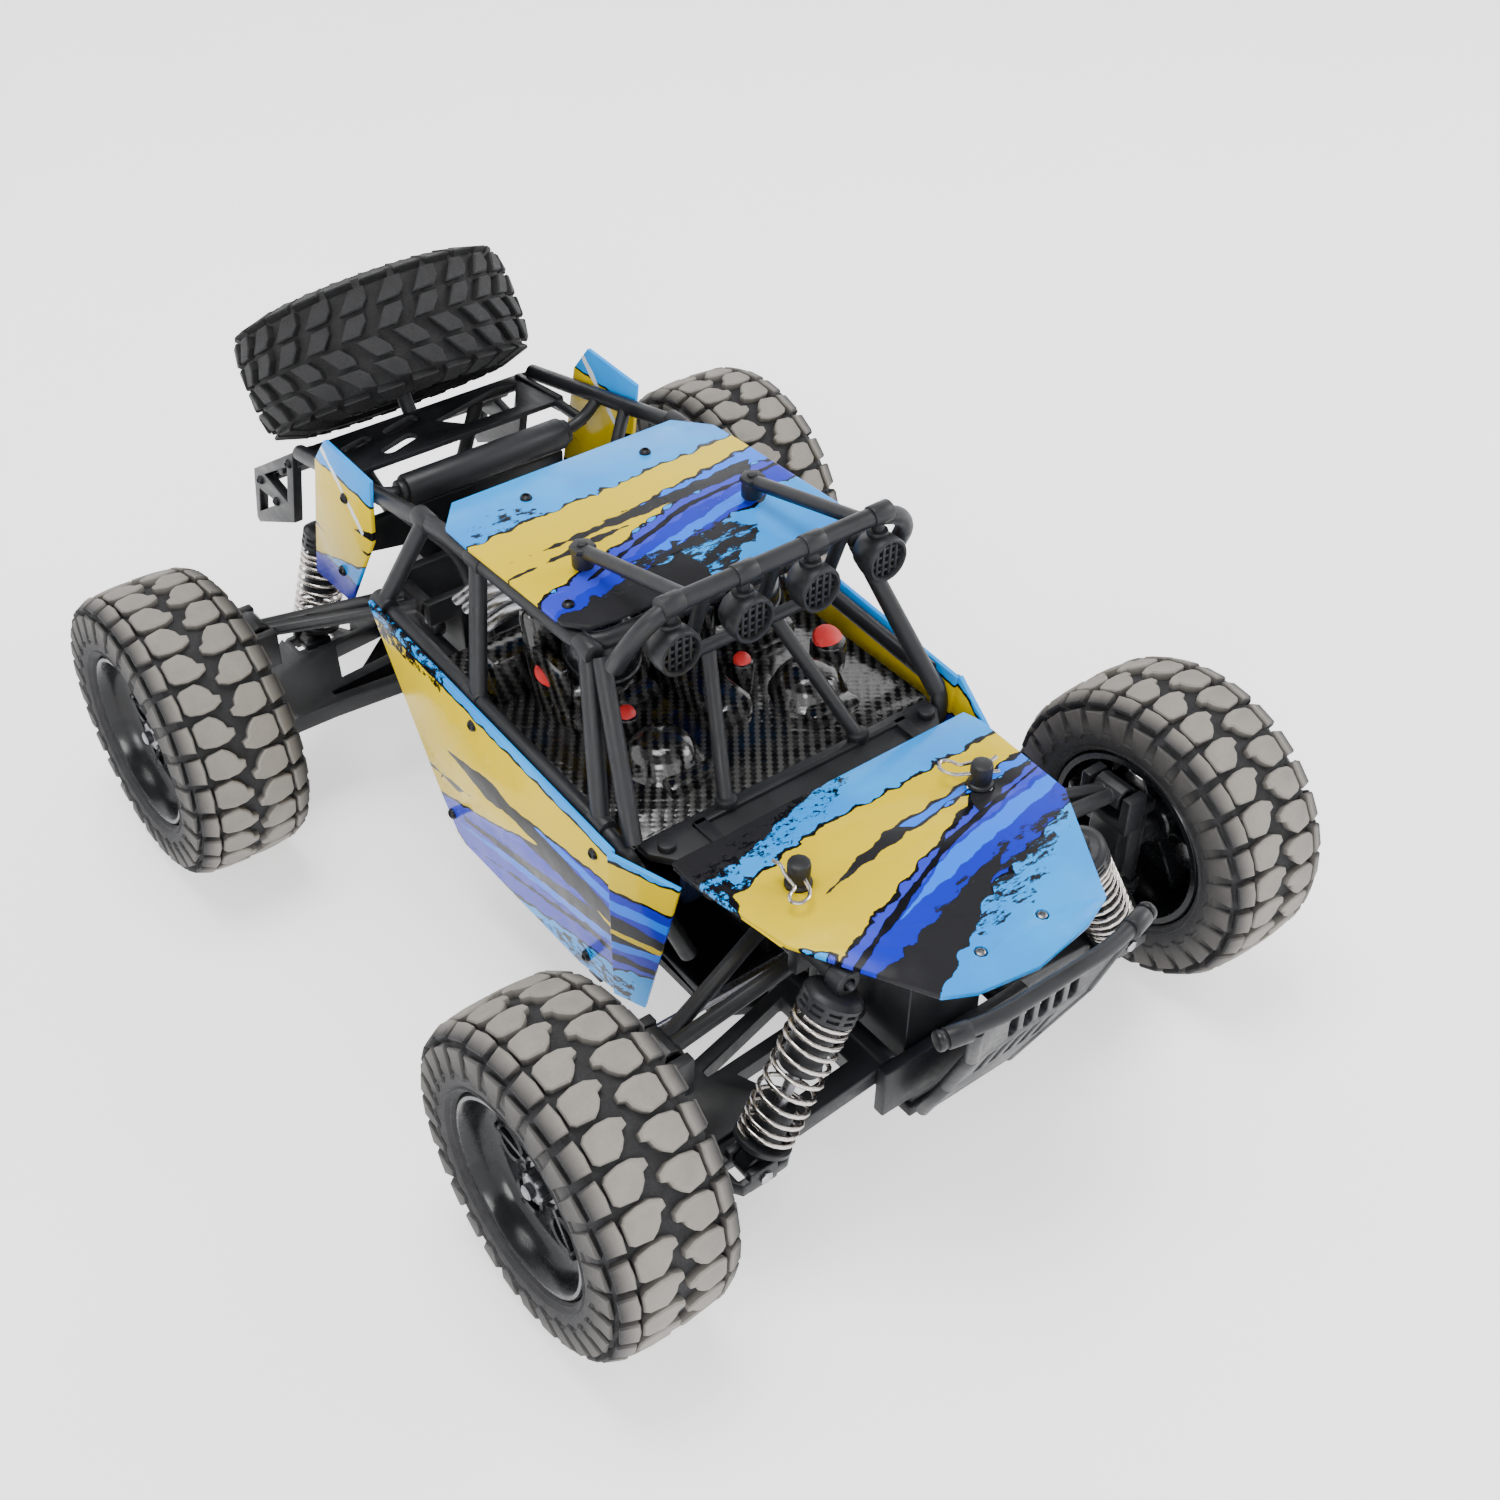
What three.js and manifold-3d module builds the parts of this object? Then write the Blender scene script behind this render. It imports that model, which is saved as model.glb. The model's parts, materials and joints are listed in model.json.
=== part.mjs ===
// Remote control desert buggy: four driven wheels on double wishbones, a tube cage with bolted-on
// panels and a spare wheel on a sloping rear rack.
// Millimetres. +Z up, the car's front towards -Y, its left at +X. The ground is z = 0.
import * as THREE from "three";
import { mergeVertices } from "three/addons/utils/BufferGeometryUtils.js";
import Module from "manifold-3d";

const wasm = await Module();
wasm.setup();

// Driving dimensions. Lengths along the car count from the middle of the wheelbase.
const WHEELBASE = 206;
const TRACK = 204; // between the wheel centres of one axle
const TYRE_RADIUS = 45;
const TYRE_WIDTH = 38;
const BEAD_RADIUS = 27; // where the tyre sits on the rim
const WHEEL_SIDES = 20;
const FIT = 0.4; // left between pieces that touch
const PANEL = 1.4; // thickness of the printed panels
const TUBE = 2.5; // radius of the cage tubes
const PIN = 1.3; // radius of the hinge pins
const PIN_BORE = 1.75;

// One corner of the suspension, seen along the car: [distance from the car's middle, height].
const ARM_IN = [20, 40];
const ARM_OUT = [79, 35];
const UPPER_IN = [33, 73];
const UPPER_OUT = [77, 68];
const UPPER_SLACK = 1.1; // the upper ball joint's play, which closes the linkage
const UPPER_SPAN = { front: [-17.5, 3.4], rear: [-28, -14] }; // ends of the hinge barrel
const KINGPIN = 86;
const STEER_ARM = 17; // kingpin to track rod pin
const TIE_HEIGHT = 52;
const LINK_END = 15;
// The shocks lean in to their towers, and stand this far beyond each axle.
const SHOCKS = {
  front: { top: [38.4, 84.6], foot: [64, 35.9], offset: 19.5 },
  rear: { top: [36.8, 79], foot: [48.6, 36.5], offset: 24.2 },
};

// Heights and lengths of the body.
const ROOF_FRONT = 129.5;
const ROOF_FALL = 0.038; // the roof drops towards the rear
const SPARE = { y: 150, z: 118, lean: Math.PI * 0.3 }; // lean: the axle's elevation

const car = new THREE.Group();

const FINISHES = {
  black_plastic: { color: 0x1c1d20, roughness: 0.62, metalness: 0 },
  gloss_black: { color: 0x101113, roughness: 0.2, metalness: 0 },
  rubber: { color: 0x2b2b2c, roughness: 0.9, metalness: 0 },
  steel: { color: 0xb9bbc0, roughness: 0.28, metalness: 1 },
  blue_panel: { color: 0x3fb2ee, roughness: 0.22, metalness: 0 },
  yellow_panel: { color: 0xf2df1e, roughness: 0.22, metalness: 0 },
  motor_can: { color: 0x8b8d92, roughness: 0.4, metalness: 0.9 },
  battery_wrap: { color: 0x2b4fa8, roughness: 0.35, metalness: 0 },
};

function vector(point) {
  return new THREE.Vector3(...point);
}

// A closed three.js geometry as a manifold solid.
function solid(geometry) {
  const bare = geometry.index ? geometry.toNonIndexed() : geometry.clone();
  for (const name of Object.keys(bare.attributes)) {
    if (name !== "position") bare.deleteAttribute(name);
  }
  const merged = mergeVertices(bare, 1e-4);
  return new wasm.Manifold(
    new wasm.Mesh({
      numProp: 3,
      vertProperties: merged.attributes.position.array,
      triVerts: new Uint32Array(merged.index.array),
    }),
  );
}

function geometryOf(manifold) {
  const mesh = manifold.getMesh();
  const geometry = new THREE.BufferGeometry();
  geometry.setAttribute("position", new THREE.BufferAttribute(mesh.vertProperties, 3));
  geometry.setIndex(new THREE.BufferAttribute(mesh.triVerts, 1));
  geometry.computeVertexNormals();
  return geometry;
}

function join(...pieces) {
  return geometryOf(pieces.map(solid).reduce((whole, piece) => whole.add(piece)));
}

function cut(whole, ...tools) {
  return geometryOf(tools.map(solid).reduce((rest, tool) => rest.subtract(tool), solid(whole)));
}

function overlap(a, b) {
  return geometryOf(solid(a).intersect(solid(b)));
}

function block(low, high) {
  const size = high.map((value, i) => value - low[i]);
  const middle = high.map((value, i) => (value + low[i]) / 2);
  return new THREE.BoxGeometry(...size).translate(...middle);
}

function rod(from, to, radius, sides = 8) {
  const start = vector(from);
  const along = vector(to).sub(start);
  const turn = new THREE.Quaternion().setFromUnitVectors(
    new THREE.Vector3(0, 1, 0),
    along.clone().normalize(),
  );
  return new THREE.CylinderGeometry(radius, radius, along.length(), sides)
    .applyQuaternion(turn)
    .translate(...start.addScaledVector(along, 0.5));
}

// Straight tubes end to end, each run a little past its corner so that the corner closes.
function run(points, radius = TUBE, sides = 6) {
  const pieces = points.slice(1).map((point, i) => {
    const start = vector(points[i]);
    const end = vector(point);
    const past = end.clone().sub(start).setLength(radius * 0.45);
    return rod(start.clone().sub(past).toArray(), end.add(past).toArray(), radius, sides);
  });
  return join(...pieces);
}

// An outline extruded along one axis. It lists (y, z) along x, (x, z) along y and (x, y) along z.
function prism(outline, axis, from, to) {
  const points = outline.map(([u, v]) => new THREE.Vector2(...(axis === "y" ? [v, u] : [u, v])));
  const geometry = new THREE.ExtrudeGeometry(new THREE.Shape(points), {
    depth: to - from,
    bevelEnabled: false,
  }).translate(0, 0, from);
  const [x, y, z] = [vector([1, 0, 0]), vector([0, 1, 0]), vector([0, 0, 1])];
  const bases = { x: [y, z, x], y: [z, x, y], z: [x, y, z] };
  return geometry.applyMatrix4(new THREE.Matrix4().makeBasis(...bases[axis]));
}

// A flat sheet through four corners, thick towards the side that the corners turn left about.
function sheet(corners, thickness = PANEL) {
  const [a, b, c, d] = corners.map(vector);
  const normal = b.clone().sub(a).cross(d.clone().sub(a)).setLength(thickness);
  const top = [a, b, c, d].map((corner) => corner.clone().add(normal));
  const points = [a, b, c, d, ...top].flatMap((corner) => corner.toArray());
  const faces = [2, 1, 0, 3, 2, 0, 4, 5, 6, 4, 6, 7];
  for (let i = 0; i < 4; i++) {
    const next = (i + 1) % 4;
    faces.push(i, next, next + 4, i, next + 4, i + 4);
  }
  return new THREE.BufferGeometry()
    .setAttribute("position", new THREE.Float32BufferAttribute(points, 3))
    .setIndex(faces);
}

// A closed profile of [radius, x] turned about the x axis, with a flat side towards the ground.
function turned(profile) {
  const stretch = 1 / Math.cos(Math.PI / WHEEL_SIDES);
  const points = [...profile, profile[0]].map(([r, x]) => new THREE.Vector2(r * stretch, x));
  return new THREE.LatheGeometry(points, WHEEL_SIDES)
    .rotateZ(-Math.PI / 2)
    .rotateX(Math.PI / WHEEL_SIDES);
}

function mirrored(geometry) {
  const copy = geometry.index ? geometry.toNonIndexed() : geometry.clone();
  copy.scale(-1, 1, 1);
  const place = copy.attributes.position;
  for (let i = 0; i < place.count; i += 3) {
    const [second, third] = [i + 1, i + 2].map((k) => new THREE.Vector3().fromBufferAttribute(place, k));
    place.setXYZ(i + 1, ...third);
    place.setXYZ(i + 2, ...second);
  }
  return copy;
}

function bothSides(geometry) {
  return [geometry, mirrored(geometry)];
}

function add(name, geometry, finish, parent = car) {
  const mesh = new THREE.Mesh(geometry, new THREE.MeshStandardMaterial(FINISHES[finish]));
  mesh.name = name;
  parent.add(mesh);
  return mesh;
}

// ---- Wheels. Their own frame: the wheel's centre is the origin and its outer face looks to +X.

function tyre() {
  const half = TYRE_WIDTH / 2;
  const bead = BEAD_RADIUS + FIT;
  const carcass = 4.5;
  const right = [
    [TYRE_RADIUS, half - 6],
    [TYRE_RADIUS - 3, half - 1.5],
    [TYRE_RADIUS - 8, half],
    [bead + 3, half - 0.6],
    [bead, half - 3],
    [bead, half - 8],
    [TYRE_RADIUS - carcass, half - 8],
  ];
  const left = right.map(([r, x]) => [r, -x]).reverse();
  return turned([...left, ...right]);
}

const RIM_LIP = TYRE_WIDTH / 2 - 2.5;
const RIM_DISC = 4; // inner face of the wheel disc, outwards of the wheel's centre
const RIM_BORE = 2.8;

function rim() {
  const barrel = BEAD_RADIUS - 2.4;
  const shell = turned([
    [RIM_BORE, -5],
    [6.5, -5],
    [6.5, RIM_DISC],
    [barrel, RIM_DISC],
    [barrel, -RIM_LIP],
    [BEAD_RADIUS, -RIM_LIP],
    [BEAD_RADIUS, RIM_LIP],
    [barrel + 0.6, RIM_LIP],
    [barrel - 2, RIM_DISC + 4],
    [7, RIM_DISC + 4],
    [RIM_BORE, 8],
  ]);
  const holes = [];
  for (let i = 0; i < 6; i++) {
    const angle = (i * Math.PI) / 3;
    const [y, z] = [15 * Math.cos(angle), 15 * Math.sin(angle)];
    holes.push(rod([0, y, z], [RIM_LIP, y, z], 3.8, 6));
  }
  return cut(shell, ...holes);
}

// ---- Suspension. A corner's own frame: x outwards, y from the axle towards that end of the car.

// The lower wishbone: a tapering plate with windows, a hinge barrel, a fork for the carrier and a
// recessed lug for the shock.
function lowerArm({ foot, offset }) {
  const [xIn, zIn] = ARM_IN;
  const [xOut, zOut] = ARM_OUT;
  const [xFoot, zFoot] = foot;
  const wall = 2.4;
  const eyeGap = 3;
  const lug = offset + eyeGap + wall;
  const plan = prism(
    [
      [xIn, -19],
      [xIn, 20],
      [xFoot - 13, 20],
      [xFoot - 7, lug],
      [xFoot + 6.6, lug],
      [xOut, 10],
      [xOut, -10],
      [60, -12],
    ],
    "z",
    zOut - 10,
    zIn + 10,
  );
  const slab = prism(
    [
      [xIn, zIn - 3],
      [xOut, zOut - 3],
      [xOut, zOut + 2.6],
      [xIn, zIn + 2.6],
    ],
    "y",
    -30,
    30,
  );
  const ears = [offset - eyeGap - wall, offset + eyeGap].map((y) =>
    block([xFoot - 4, y, zFoot - 3.2], [xFoot + 4.4, y + wall, zFoot + 3.2]),
  );
  const windows = [
    prism([[28, -2], [28, 13], [46, 13], [52, -2]], "z", 20, 60),
    prism([[28, -14], [28, -6], [58, -6], [58, -8]], "z", 20, 60),
    block([xOut - 5, -6, 20], [xOut + 6, 6, 60]),
    block([xFoot - 6.4, offset - eyeGap, 20], [xFoot + 6.4, offset + eyeGap, 60]),
    block([xFoot - 12, offset - 8.4, zFoot + 0.8], [xFoot + 9, offset + 9, 60]),
  ];
  const arm = cut(
    join(
      overlap(plan, slab),
      rod([xIn, -19, zIn], [xIn, 20, zIn], 3.6, 10),
      rod([xOut, -10, zOut], [xOut, 10, zOut], 3.6, 10),
    ),
    ...windows,
    rod([xIn, -25, zIn], [xIn, 25, zIn], PIN_BORE),
  );
  return join(
    arm,
    ...ears,
    rod([xOut, -8, zOut], [xOut, 8, zOut], PIN),
    rod([xFoot, offset - 4, zFoot], [xFoot, offset + 4, zFoot], PIN),
  );
}

// The upper wishbone: two rods from a hinge barrel to one outer eye.
function upperArm([low, high]) {
  const [xIn, zIn] = UPPER_IN;
  const [xOut, zOut] = UPPER_OUT;
  const arm = join(
    rod([xIn, low, zIn], [xIn, high, zIn], 3),
    rod([xIn, low + 3, zIn], [xOut, -1, zOut], 2.3),
    rod([xIn, high - 3.4, zIn], [xOut, 1, zOut], 2.3),
    rod([xOut, -4.8, zOut], [xOut, 4.8, zOut], 3.9, 10),
  );
  return cut(
    arm,
    rod([xIn, low - 5, zIn], [xIn, high + 5, zIn], PIN_BORE),
    rod([xOut, -10, zOut], [xOut, 10, zOut], PIN + UPPER_SLACK),
  );
}

// The upright that both arms hold: a tongue below, a fork above and a window for the drive shaft.
function uprightBody() {
  const [xLow, zLow] = ARM_OUT;
  const [xUp, zUp] = UPPER_OUT;
  const frame = join(
    block([xLow - 3.2, -5.4, zLow - 1], [xLow + 1.4, 5.4, 64]),
    block([xUp - 3.6, -9, 59], [xUp + 3.4, 9, zUp + 3]),
    rod([xLow, -5.4, zLow], [xLow, 5.4, zLow], 3.6, 10),
  );
  return join(
    cut(
      frame,
      block([xUp - 6, -6, zUp - 5.4], [xUp + 6, 6, zUp + 6]),
      rod([xLow, -9, zLow], [xLow, 9, zLow], PIN_BORE),
      rod([xLow - 6, 0, TYRE_RADIUS], [xLow + 6, 0, TYRE_RADIUS], 4.4, 10),
      block([xLow + 1.4, -9, 30], [xLow + 9, 9, 80]),
    ),
    rod([xUp, -8, zUp], [xUp, 8, zUp], PIN),
  );
}

const EAR_TOP = 57;
const EAR_FOOT = 31;

// Front upright: two ears reach out and carry the kingpins.
function steeringHub() {
  const reach = KINGPIN + 4.5;
  const x = ARM_OUT[0] - 1;
  return join(
    uprightBody(),
    block([x, -5, EAR_TOP], [reach, 5, EAR_TOP + 4]),
    block([x, -5, EAR_FOOT - 4], [reach, 5, EAR_FOOT]),
    block([x - 2.2, -5, EAR_FOOT - 4], [x + 2.4, 5, EAR_FOOT + 1.5]),
    rod([KINGPIN, 0, EAR_FOOT - 2], [KINGPIN, 0, EAR_FOOT + 4], PIN),
    rod([KINGPIN, 0, EAR_TOP - 4], [KINGPIN, 0, EAR_TOP + 2], PIN),
  );
}

// Axle from the given x outwards, with the wheel nut on its end.
function stubAxle(x) {
  const nut = TRACK / 2 + 8 + FIT;
  const z = TYRE_RADIUS;
  return join(
    rod([x, 0, z], [TRACK / 2 - 5 - FIT, 0, z], 4, 10),
    rod([x, 0, z], [nut + 1, 0, z], RIM_BORE - 0.35, 10),
    rod([nut, 0, z], [nut + 4, 0, z], 4.6, 6),
  );
}

// Front knuckle: turns on the kingpins, carries the axle and the steering arm.
function knuckle() {
  const low = EAR_FOOT + FIT;
  const high = EAR_TOP - FIT;
  const post = cut(
    rod([KINGPIN, 0, low], [KINGPIN, 0, high], 5, 10),
    rod([KINGPIN, 0, low - 1], [KINGPIN, 0, low + 5], PIN_BORE),
    rod([KINGPIN, 0, high - 5], [KINGPIN, 0, high + 1], PIN_BORE),
  );
  const arm = TIE_HEIGHT - 2 - FIT;
  return join(
    post,
    stubAxle(KINGPIN + 2),
    block([KINGPIN - 3, -STEER_ARM - 2.5, arm - 3], [KINGPIN + 3, -3, arm]),
    rod([KINGPIN, -STEER_ARM, arm - 1], [KINGPIN, -STEER_ARM, TIE_HEIGHT + 1.5], 1),
  );
}

// Rear upright: the axle's bearing housing is part of it.
function rearHub() {
  const z = TYRE_RADIUS;
  return join(uprightBody(), rod([ARM_OUT[0] - 2, 0, z], [92, 0, z], 8, 12), stubAxle(85));
}

// Places along a shock, from its top eye to its foot.
const CAP_START = 3.2;
const CAP_END = 9.5;
const BODY_END = 26;
const SEAT_RISE = 8; // the spring's seat, above the foot
const SHAFT_TOP = 17;
const CAP_RADIUS = 7.6;

// A shock's own frame: the top eye is the origin and the shock hangs down -Z.
function shockBody() {
  const body = join(
    rod([0, -2.6, 0], [0, 2.6, 0], 3.6, 10),
    block([-2, -2.2, -CAP_START - 1], [2, 2.2, 0]),
    rod([0, 0, -CAP_START], [0, 0, -CAP_END], CAP_RADIUS, 12),
    rod([0, 0, -CAP_END + 1], [0, 0, -BODY_END], 5.2, 10),
  );
  return cut(
    body,
    rod([0, -4, 0], [0, 4, 0], PIN_BORE),
    rod([0, 0, -CAP_START - 6], [0, 0, -BODY_END - 2], 2.1),
  );
}

function shockShaft(length) {
  const seat = length - SEAT_RISE;
  const shaft = join(
    rod([0, 0, -SHAFT_TOP], [0, 0, -length + 3], 1.6),
    rod([0, 0, -seat], [0, 0, -seat - 1.6], CAP_RADIUS, 12),
    rod([0, -2.6, -length], [0, 2.6, -length], 3.8, 10),
  );
  return cut(shaft, rod([0, -4, -length], [0, 4, -length], PIN + 0.8));
}

class Helix extends THREE.Curve {
  constructor(radius, length, turns) {
    super();
    Object.assign(this, { radius, length, turns });
  }
  getPoint(t) {
    const angle = t * this.turns * 2 * Math.PI;
    return new THREE.Vector3(
      this.radius * Math.cos(angle),
      this.radius * Math.sin(angle),
      -t * this.length,
    );
  }
}

function spring(length) {
  const wire = 0.75;
  const turns = 6;
  const section = new THREE.Shape().absarc(0, 0, wire, 0, 2 * Math.PI);
  const coil = new Helix(CAP_RADIUS - wire, length - SEAT_RISE - CAP_END - 2 * FIT - 2 * wire, turns);
  return new THREE.ExtrudeGeometry(section, {
    extrudePath: coil,
    steps: turns * 8,
    curveSegments: 3,
    bevelEnabled: false,
  }).translate(0, 0, -CAP_END - FIT - wire);
}

function addCorner(end, side) {
  const corner = new THREE.Group();
  const outward = end === "front" ? -1 : 1;
  corner.position.y = (outward * WHEELBASE) / 2;
  corner.scale.set(side === "left" ? 1 : -1, outward, 1);
  car.add(corner);
  const tag = end + "_" + side;
  const { top, foot, offset } = SHOCKS[end];

  add("lower_arm_" + tag, lowerArm(SHOCKS[end]), "black_plastic", corner);
  add("upper_arm_" + tag, upperArm(UPPER_SPAN[end]), "black_plastic", corner);
  if (end === "front") {
    add("steering_hub_" + tag, steeringHub(), "black_plastic", corner);
    add("knuckle_" + tag, knuckle(), "black_plastic", corner);
  } else {
    add("rear_hub_" + tag, rearHub(), "black_plastic", corner);
  }

  const wheel = new THREE.Group();
  wheel.position.set(TRACK / 2, 0, TYRE_RADIUS);
  corner.add(wheel);
  add("tyre_" + tag, tyre(), "rubber", wheel);
  add("rim_" + tag, rim(), "gloss_black", wheel);

  const shock = new THREE.Group();
  shock.position.set(top[0], offset, top[1]);
  shock.rotation.y = -Math.atan2(foot[0] - top[0], top[1] - foot[1]);
  corner.add(shock);
  const length = Math.hypot(foot[0] - top[0], foot[1] - top[1]);
  add("shock_body_" + tag, shockBody(), "black_plastic", shock);
  add("shock_shaft_" + tag, shockShaft(length), "steel", shock);
  add("spring_" + tag, spring(length), "steel", shock);
}

// Gearbox case with the pivot plates of its axle, in the same frame as a corner, both sides at once.
function gearbox([low, high], tower) {
  const [xLow, zLow] = ARM_IN;
  const [xUp, zUp] = UPPER_IN;
  const plate = 3.4;
  const pins = bothSides(
    join(
      rod([xLow, -22, zLow], [xLow, 23, zLow], PIN),
      rod([xUp, low - 2, zUp], [xUp, high + 2, zUp], PIN),
    ),
  );
  return join(
    block([-13, -12, 29], [13, 18, 62]),
    block([-15, -23, 26], [15, 24, 30]),
    prism([[-25, 28], [25, 28], [25, 44], [-25, 44]], "y", 20.4, 24),
    prism([[-25, 28], [25, 28], [25, 44], [-25, 44]], "y", -23, -19.4),
    block([-10, low - FIT - plate, 59], [10, -8, 70]),
    prism([[-35, 69], [35, 69], [35, 77], [-35, 77]], "y", low - FIT - plate, low - FIT),
    prism(
      [[-13, 56], [13, 56], [35, 69], [35, 78], [-35, 78], [-35, 69]],
      "y",
      high + FIT,
      high + FIT + plate,
    ),
    ...pins,
    ...tower,
  );
}

// The boss and pin that a shock hangs on, from the face of its tower.
function shockPins({ top, offset }, face) {
  const [x, z] = top;
  return bothSides(
    join(
      rod([x, face - 1, z], [x, offset - 3, z], 2.8),
      rod([x, face, z], [x, offset + 4, z], PIN),
    ),
  );
}

function frontGearbox() {
  const post = 30.2; // the body posts stand this far from the middle
  const face = 7.2;
  return gearbox(UPPER_SPAN.front, [
    prism([[-42, 77], [42, 77], [42, 88], [-42, 88]], "y", 3.8, face),
    ...shockPins(SHOCKS.front, face),
    ...bothSides(block([post - 3, -10, 77], [post + 3, face, 80.6])),
    ...bothSides(rod([post, -7, 79], [post, -7, 97.3], 3, 10)),
  ]);
}

function rearGearbox() {
  const face = 12.4;
  const half = [[0, 60], [12, 60], [18, 70], [41, 74], [41, 83], [0, 83]];
  const outline = [...half, ...half.map(([x, z]) => [-x, z]).reverse().slice(1, -1)];
  return gearbox(UPPER_SPAN.rear, [
    prism(outline, "y", 9, face),
    ...shockPins(SHOCKS.rear, face),
  ]);
}

function placedGearbox(name, geometry, outward) {
  const mesh = add(name, geometry, "black_plastic");
  mesh.position.y = (outward * WHEELBASE) / 2;
  mesh.scale.y = outward;
}

// ---- Steering: a link slides across the car and pushes a tie rod to each knuckle.

const STEER_Y = -WHEELBASE / 2 + STEER_ARM;

function steeringLink() {
  const z = TIE_HEIGHT;
  return join(
    block([-LINK_END - 3, STEER_Y - 2, z - 5], [LINK_END + 3, STEER_Y + 2, z - 2.4]),
    block([-2.5, STEER_Y, z - 5], [2.5, STEER_Y + 16, z - 2.4]),
    ...bothSides(rod([LINK_END, STEER_Y, z - 3], [LINK_END, STEER_Y, z + 1.5], 1.1)),
  );
}

function tieRod() {
  const z = TIE_HEIGHT;
  const eyes = [[LINK_END, 3], [KINGPIN, 4.6]];
  const bar = join(
    rod([LINK_END, STEER_Y, z], [KINGPIN, STEER_Y, z], 1.6),
    ...eyes.map(([x, radius]) => rod([x, STEER_Y, z - 1.5], [x, STEER_Y, z + 1.5], radius, 10)),
  );
  return cut(
    bar,
    rod([LINK_END, STEER_Y, z - 4], [LINK_END, STEER_Y, z + 4], 1.7),
    rod([KINGPIN, STEER_Y, z - 4], [KINGPIN, STEER_Y, z + 4], 3.2, 12),
  );
}

// ---- Chassis and what it carries inside.

const FLOOR = 24;

function chassisTub() {
  const half = [[16, -128], [16, -82], [36, -70], [36, 70], [16, 82], [16, 127]];
  const outline = [...half, ...half.map(([x, y]) => [-x, y]).reverse()];
  const floor = prism(outline, "z", FLOOR - 2, FLOOR + 1.6);
  const edges = bothSides(block([33, -69, FLOOR], [36, 69, FLOOR + 5]));
  const steps = [-40, 0].flatMap((y) => bothSides(block([34, y - 3, FLOOR], [54, y + 3, FLOOR + 4])));
  return join(floor, ...edges, ...steps);
}

function motor() {
  const [y, z] = [62, 47];
  return join(
    rod([-22, y, z], [8, y, z], 13.5, 16),
    rod([8, y, z], [15, y, z], 2),
    rod([13, y, z], [20, y, z], 6, 12),
  );
}

function steeringServo() {
  return join(
    block([-14, -66, 30], [14, -44, 46]),
    block([-19, -60, 40], [19, -50, 43]),
    rod([0, -56, 44], [0, -56, 49], 4),
    block([-2.5, -69, 46], [2.5, -54, 49]),
  );
}

// ---- Cage, rack, bumper and light bar.

function cageSide() {
  const roofEdge = 43.2;
  const under = (y) => ROOF_FRONT - (y + 19) * ROOF_FALL - PANEL - TUBE - 2 * FIT;
  const corner = [roofEdge, 45, under(45)];
  const belt = [[54.6, -57, 85.5], [54.6, 12, 90], [55.2, 58, 94.5]];
  const tubes = join(
    run([[roofEdge, -27, under(-27)], corner, [42, 130, 103.4]]),
    run(belt),
    run([[roofEdge, -27, under(-27)], [54.4, -47, 87]]),
    run([[roofEdge - 1.4, -31, under(-31) - 1], [51.4, -57, 85.6]]),
    run([[roofEdge, 24, under(24)], [54.6, 10, 90]]),
    run([[42.8, 52, 120.6], belt[2]]),
    run([belt[0], [38, -62, 42]]),
    run([belt[2], [38, 66, 42]]),
    run([[roofEdge, -27, under(-27)], [1.5, -27, under(-27)]]),
  );
  return tubes;
}

// The sloping rack: side plates, slats that the spare wheel lies on and a stud through its hub.
function rearRack() {
  const lean = SPARE.lean;
  const up = [0, Math.cos(lean), Math.sin(lean)];
  const level = (y) => 105 - (y - 132) / Math.tan(lean);
  const along = (distance) => [0, SPARE.y + up[1] * distance, SPARE.z + up[2] * distance];
  const side = cut(
    prism([[132.2, 102.9], [164.5, 81], [168.6, 60.5], [166.8, 59.2], [139, 73.6]], "x", 40.4, 43.6),
    prism([[138.4, 94.6], [156.4, 82.8], [142, 80]], "x", 30, 50),
    prism([[162.4, 74.4], [164.8, 64.6], [149.4, 75.4]], "x", 30, 50),
  );
  const slats = [-26, -9, 9, 26].map((x) =>
    run([[x, 135, level(135) - 4.6], [x, 163, level(163) - 4.6]], 2, 6),
  );
  const bars = [135, 148, 162].map((y) =>
    rod([-42, y, level(y) - 4.6], [42, y, level(y) - 4.6], TUBE, 6),
  );
  const braces = bothSides(run([[24, 135, 98], [11, 133.4, 66]]));
  return join(
    ...bothSides(side),
    ...bars,
    ...slats,
    ...braces,
    rod(along(-24), along(8.6), RIM_BORE - 0.4),
    rod(along(8 + FIT), along(12), 5.5, 6),
  );
}

// The tube that carries the lamps, with legs to the pillars and rods back over the roof.
function lightBar() {
  const lamps = [-33, -10.7, 10.7, 33];
  const bar = run([
    [-45.6, -42.4, 130],
    [-44.6, -46, 137],
    [-40, -48, 143.4],
    [-31.4, -48, 146.4],
    [31.4, -48, 146.4],
    [40, -48, 143.4],
    [44.6, -46, 137],
    [45.6, -42.4, 130],
  ]);
  const uprights = [-21.8, 0, 21.8].map((x) => rod([x, -47.6, 146], [x, -39, 120], 1.8, 6));
  const housings = lamps.map((x) =>
    join(
      rod([x, -53, 134.4], [x, -43, 134.4], 6.2, 10),
      rod([x, -47.8, 138], [x, -47.8, 146], 1.8, 6),
    ),
  );
  return join(
    bar,
    ...uprights,
    ...housings,
    rod([-24, -39, 120.4], [24, -39, 120.4], 1.8, 6),
    ...bothSides(run([[27.7, -2, 134.6], [27.7, -47, 146]], 2.2)),
    ...bothSides(rod([27.7, -3, 130.2], [27.7, -3, 135], 3)),
  );
}

// The plate below the windscreen, with the two screen tubes standing on it.
function cowlPlate() {
  const outline = [[-49, -55], [49, -55], [49, -60], [42, -69.4], [-42, -69.4], [-49, -60]];
  const plate = prism(outline, "z", 80.6, 83.6);
  const recess = block([-30, -66.4, 82.4], [34, -60.4, 90]);
  return join(cut(plate, recess), ...bothSides(run([[22.5, -57.4, 84], [10.6, -33.6, 116]], 2)));
}

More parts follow.
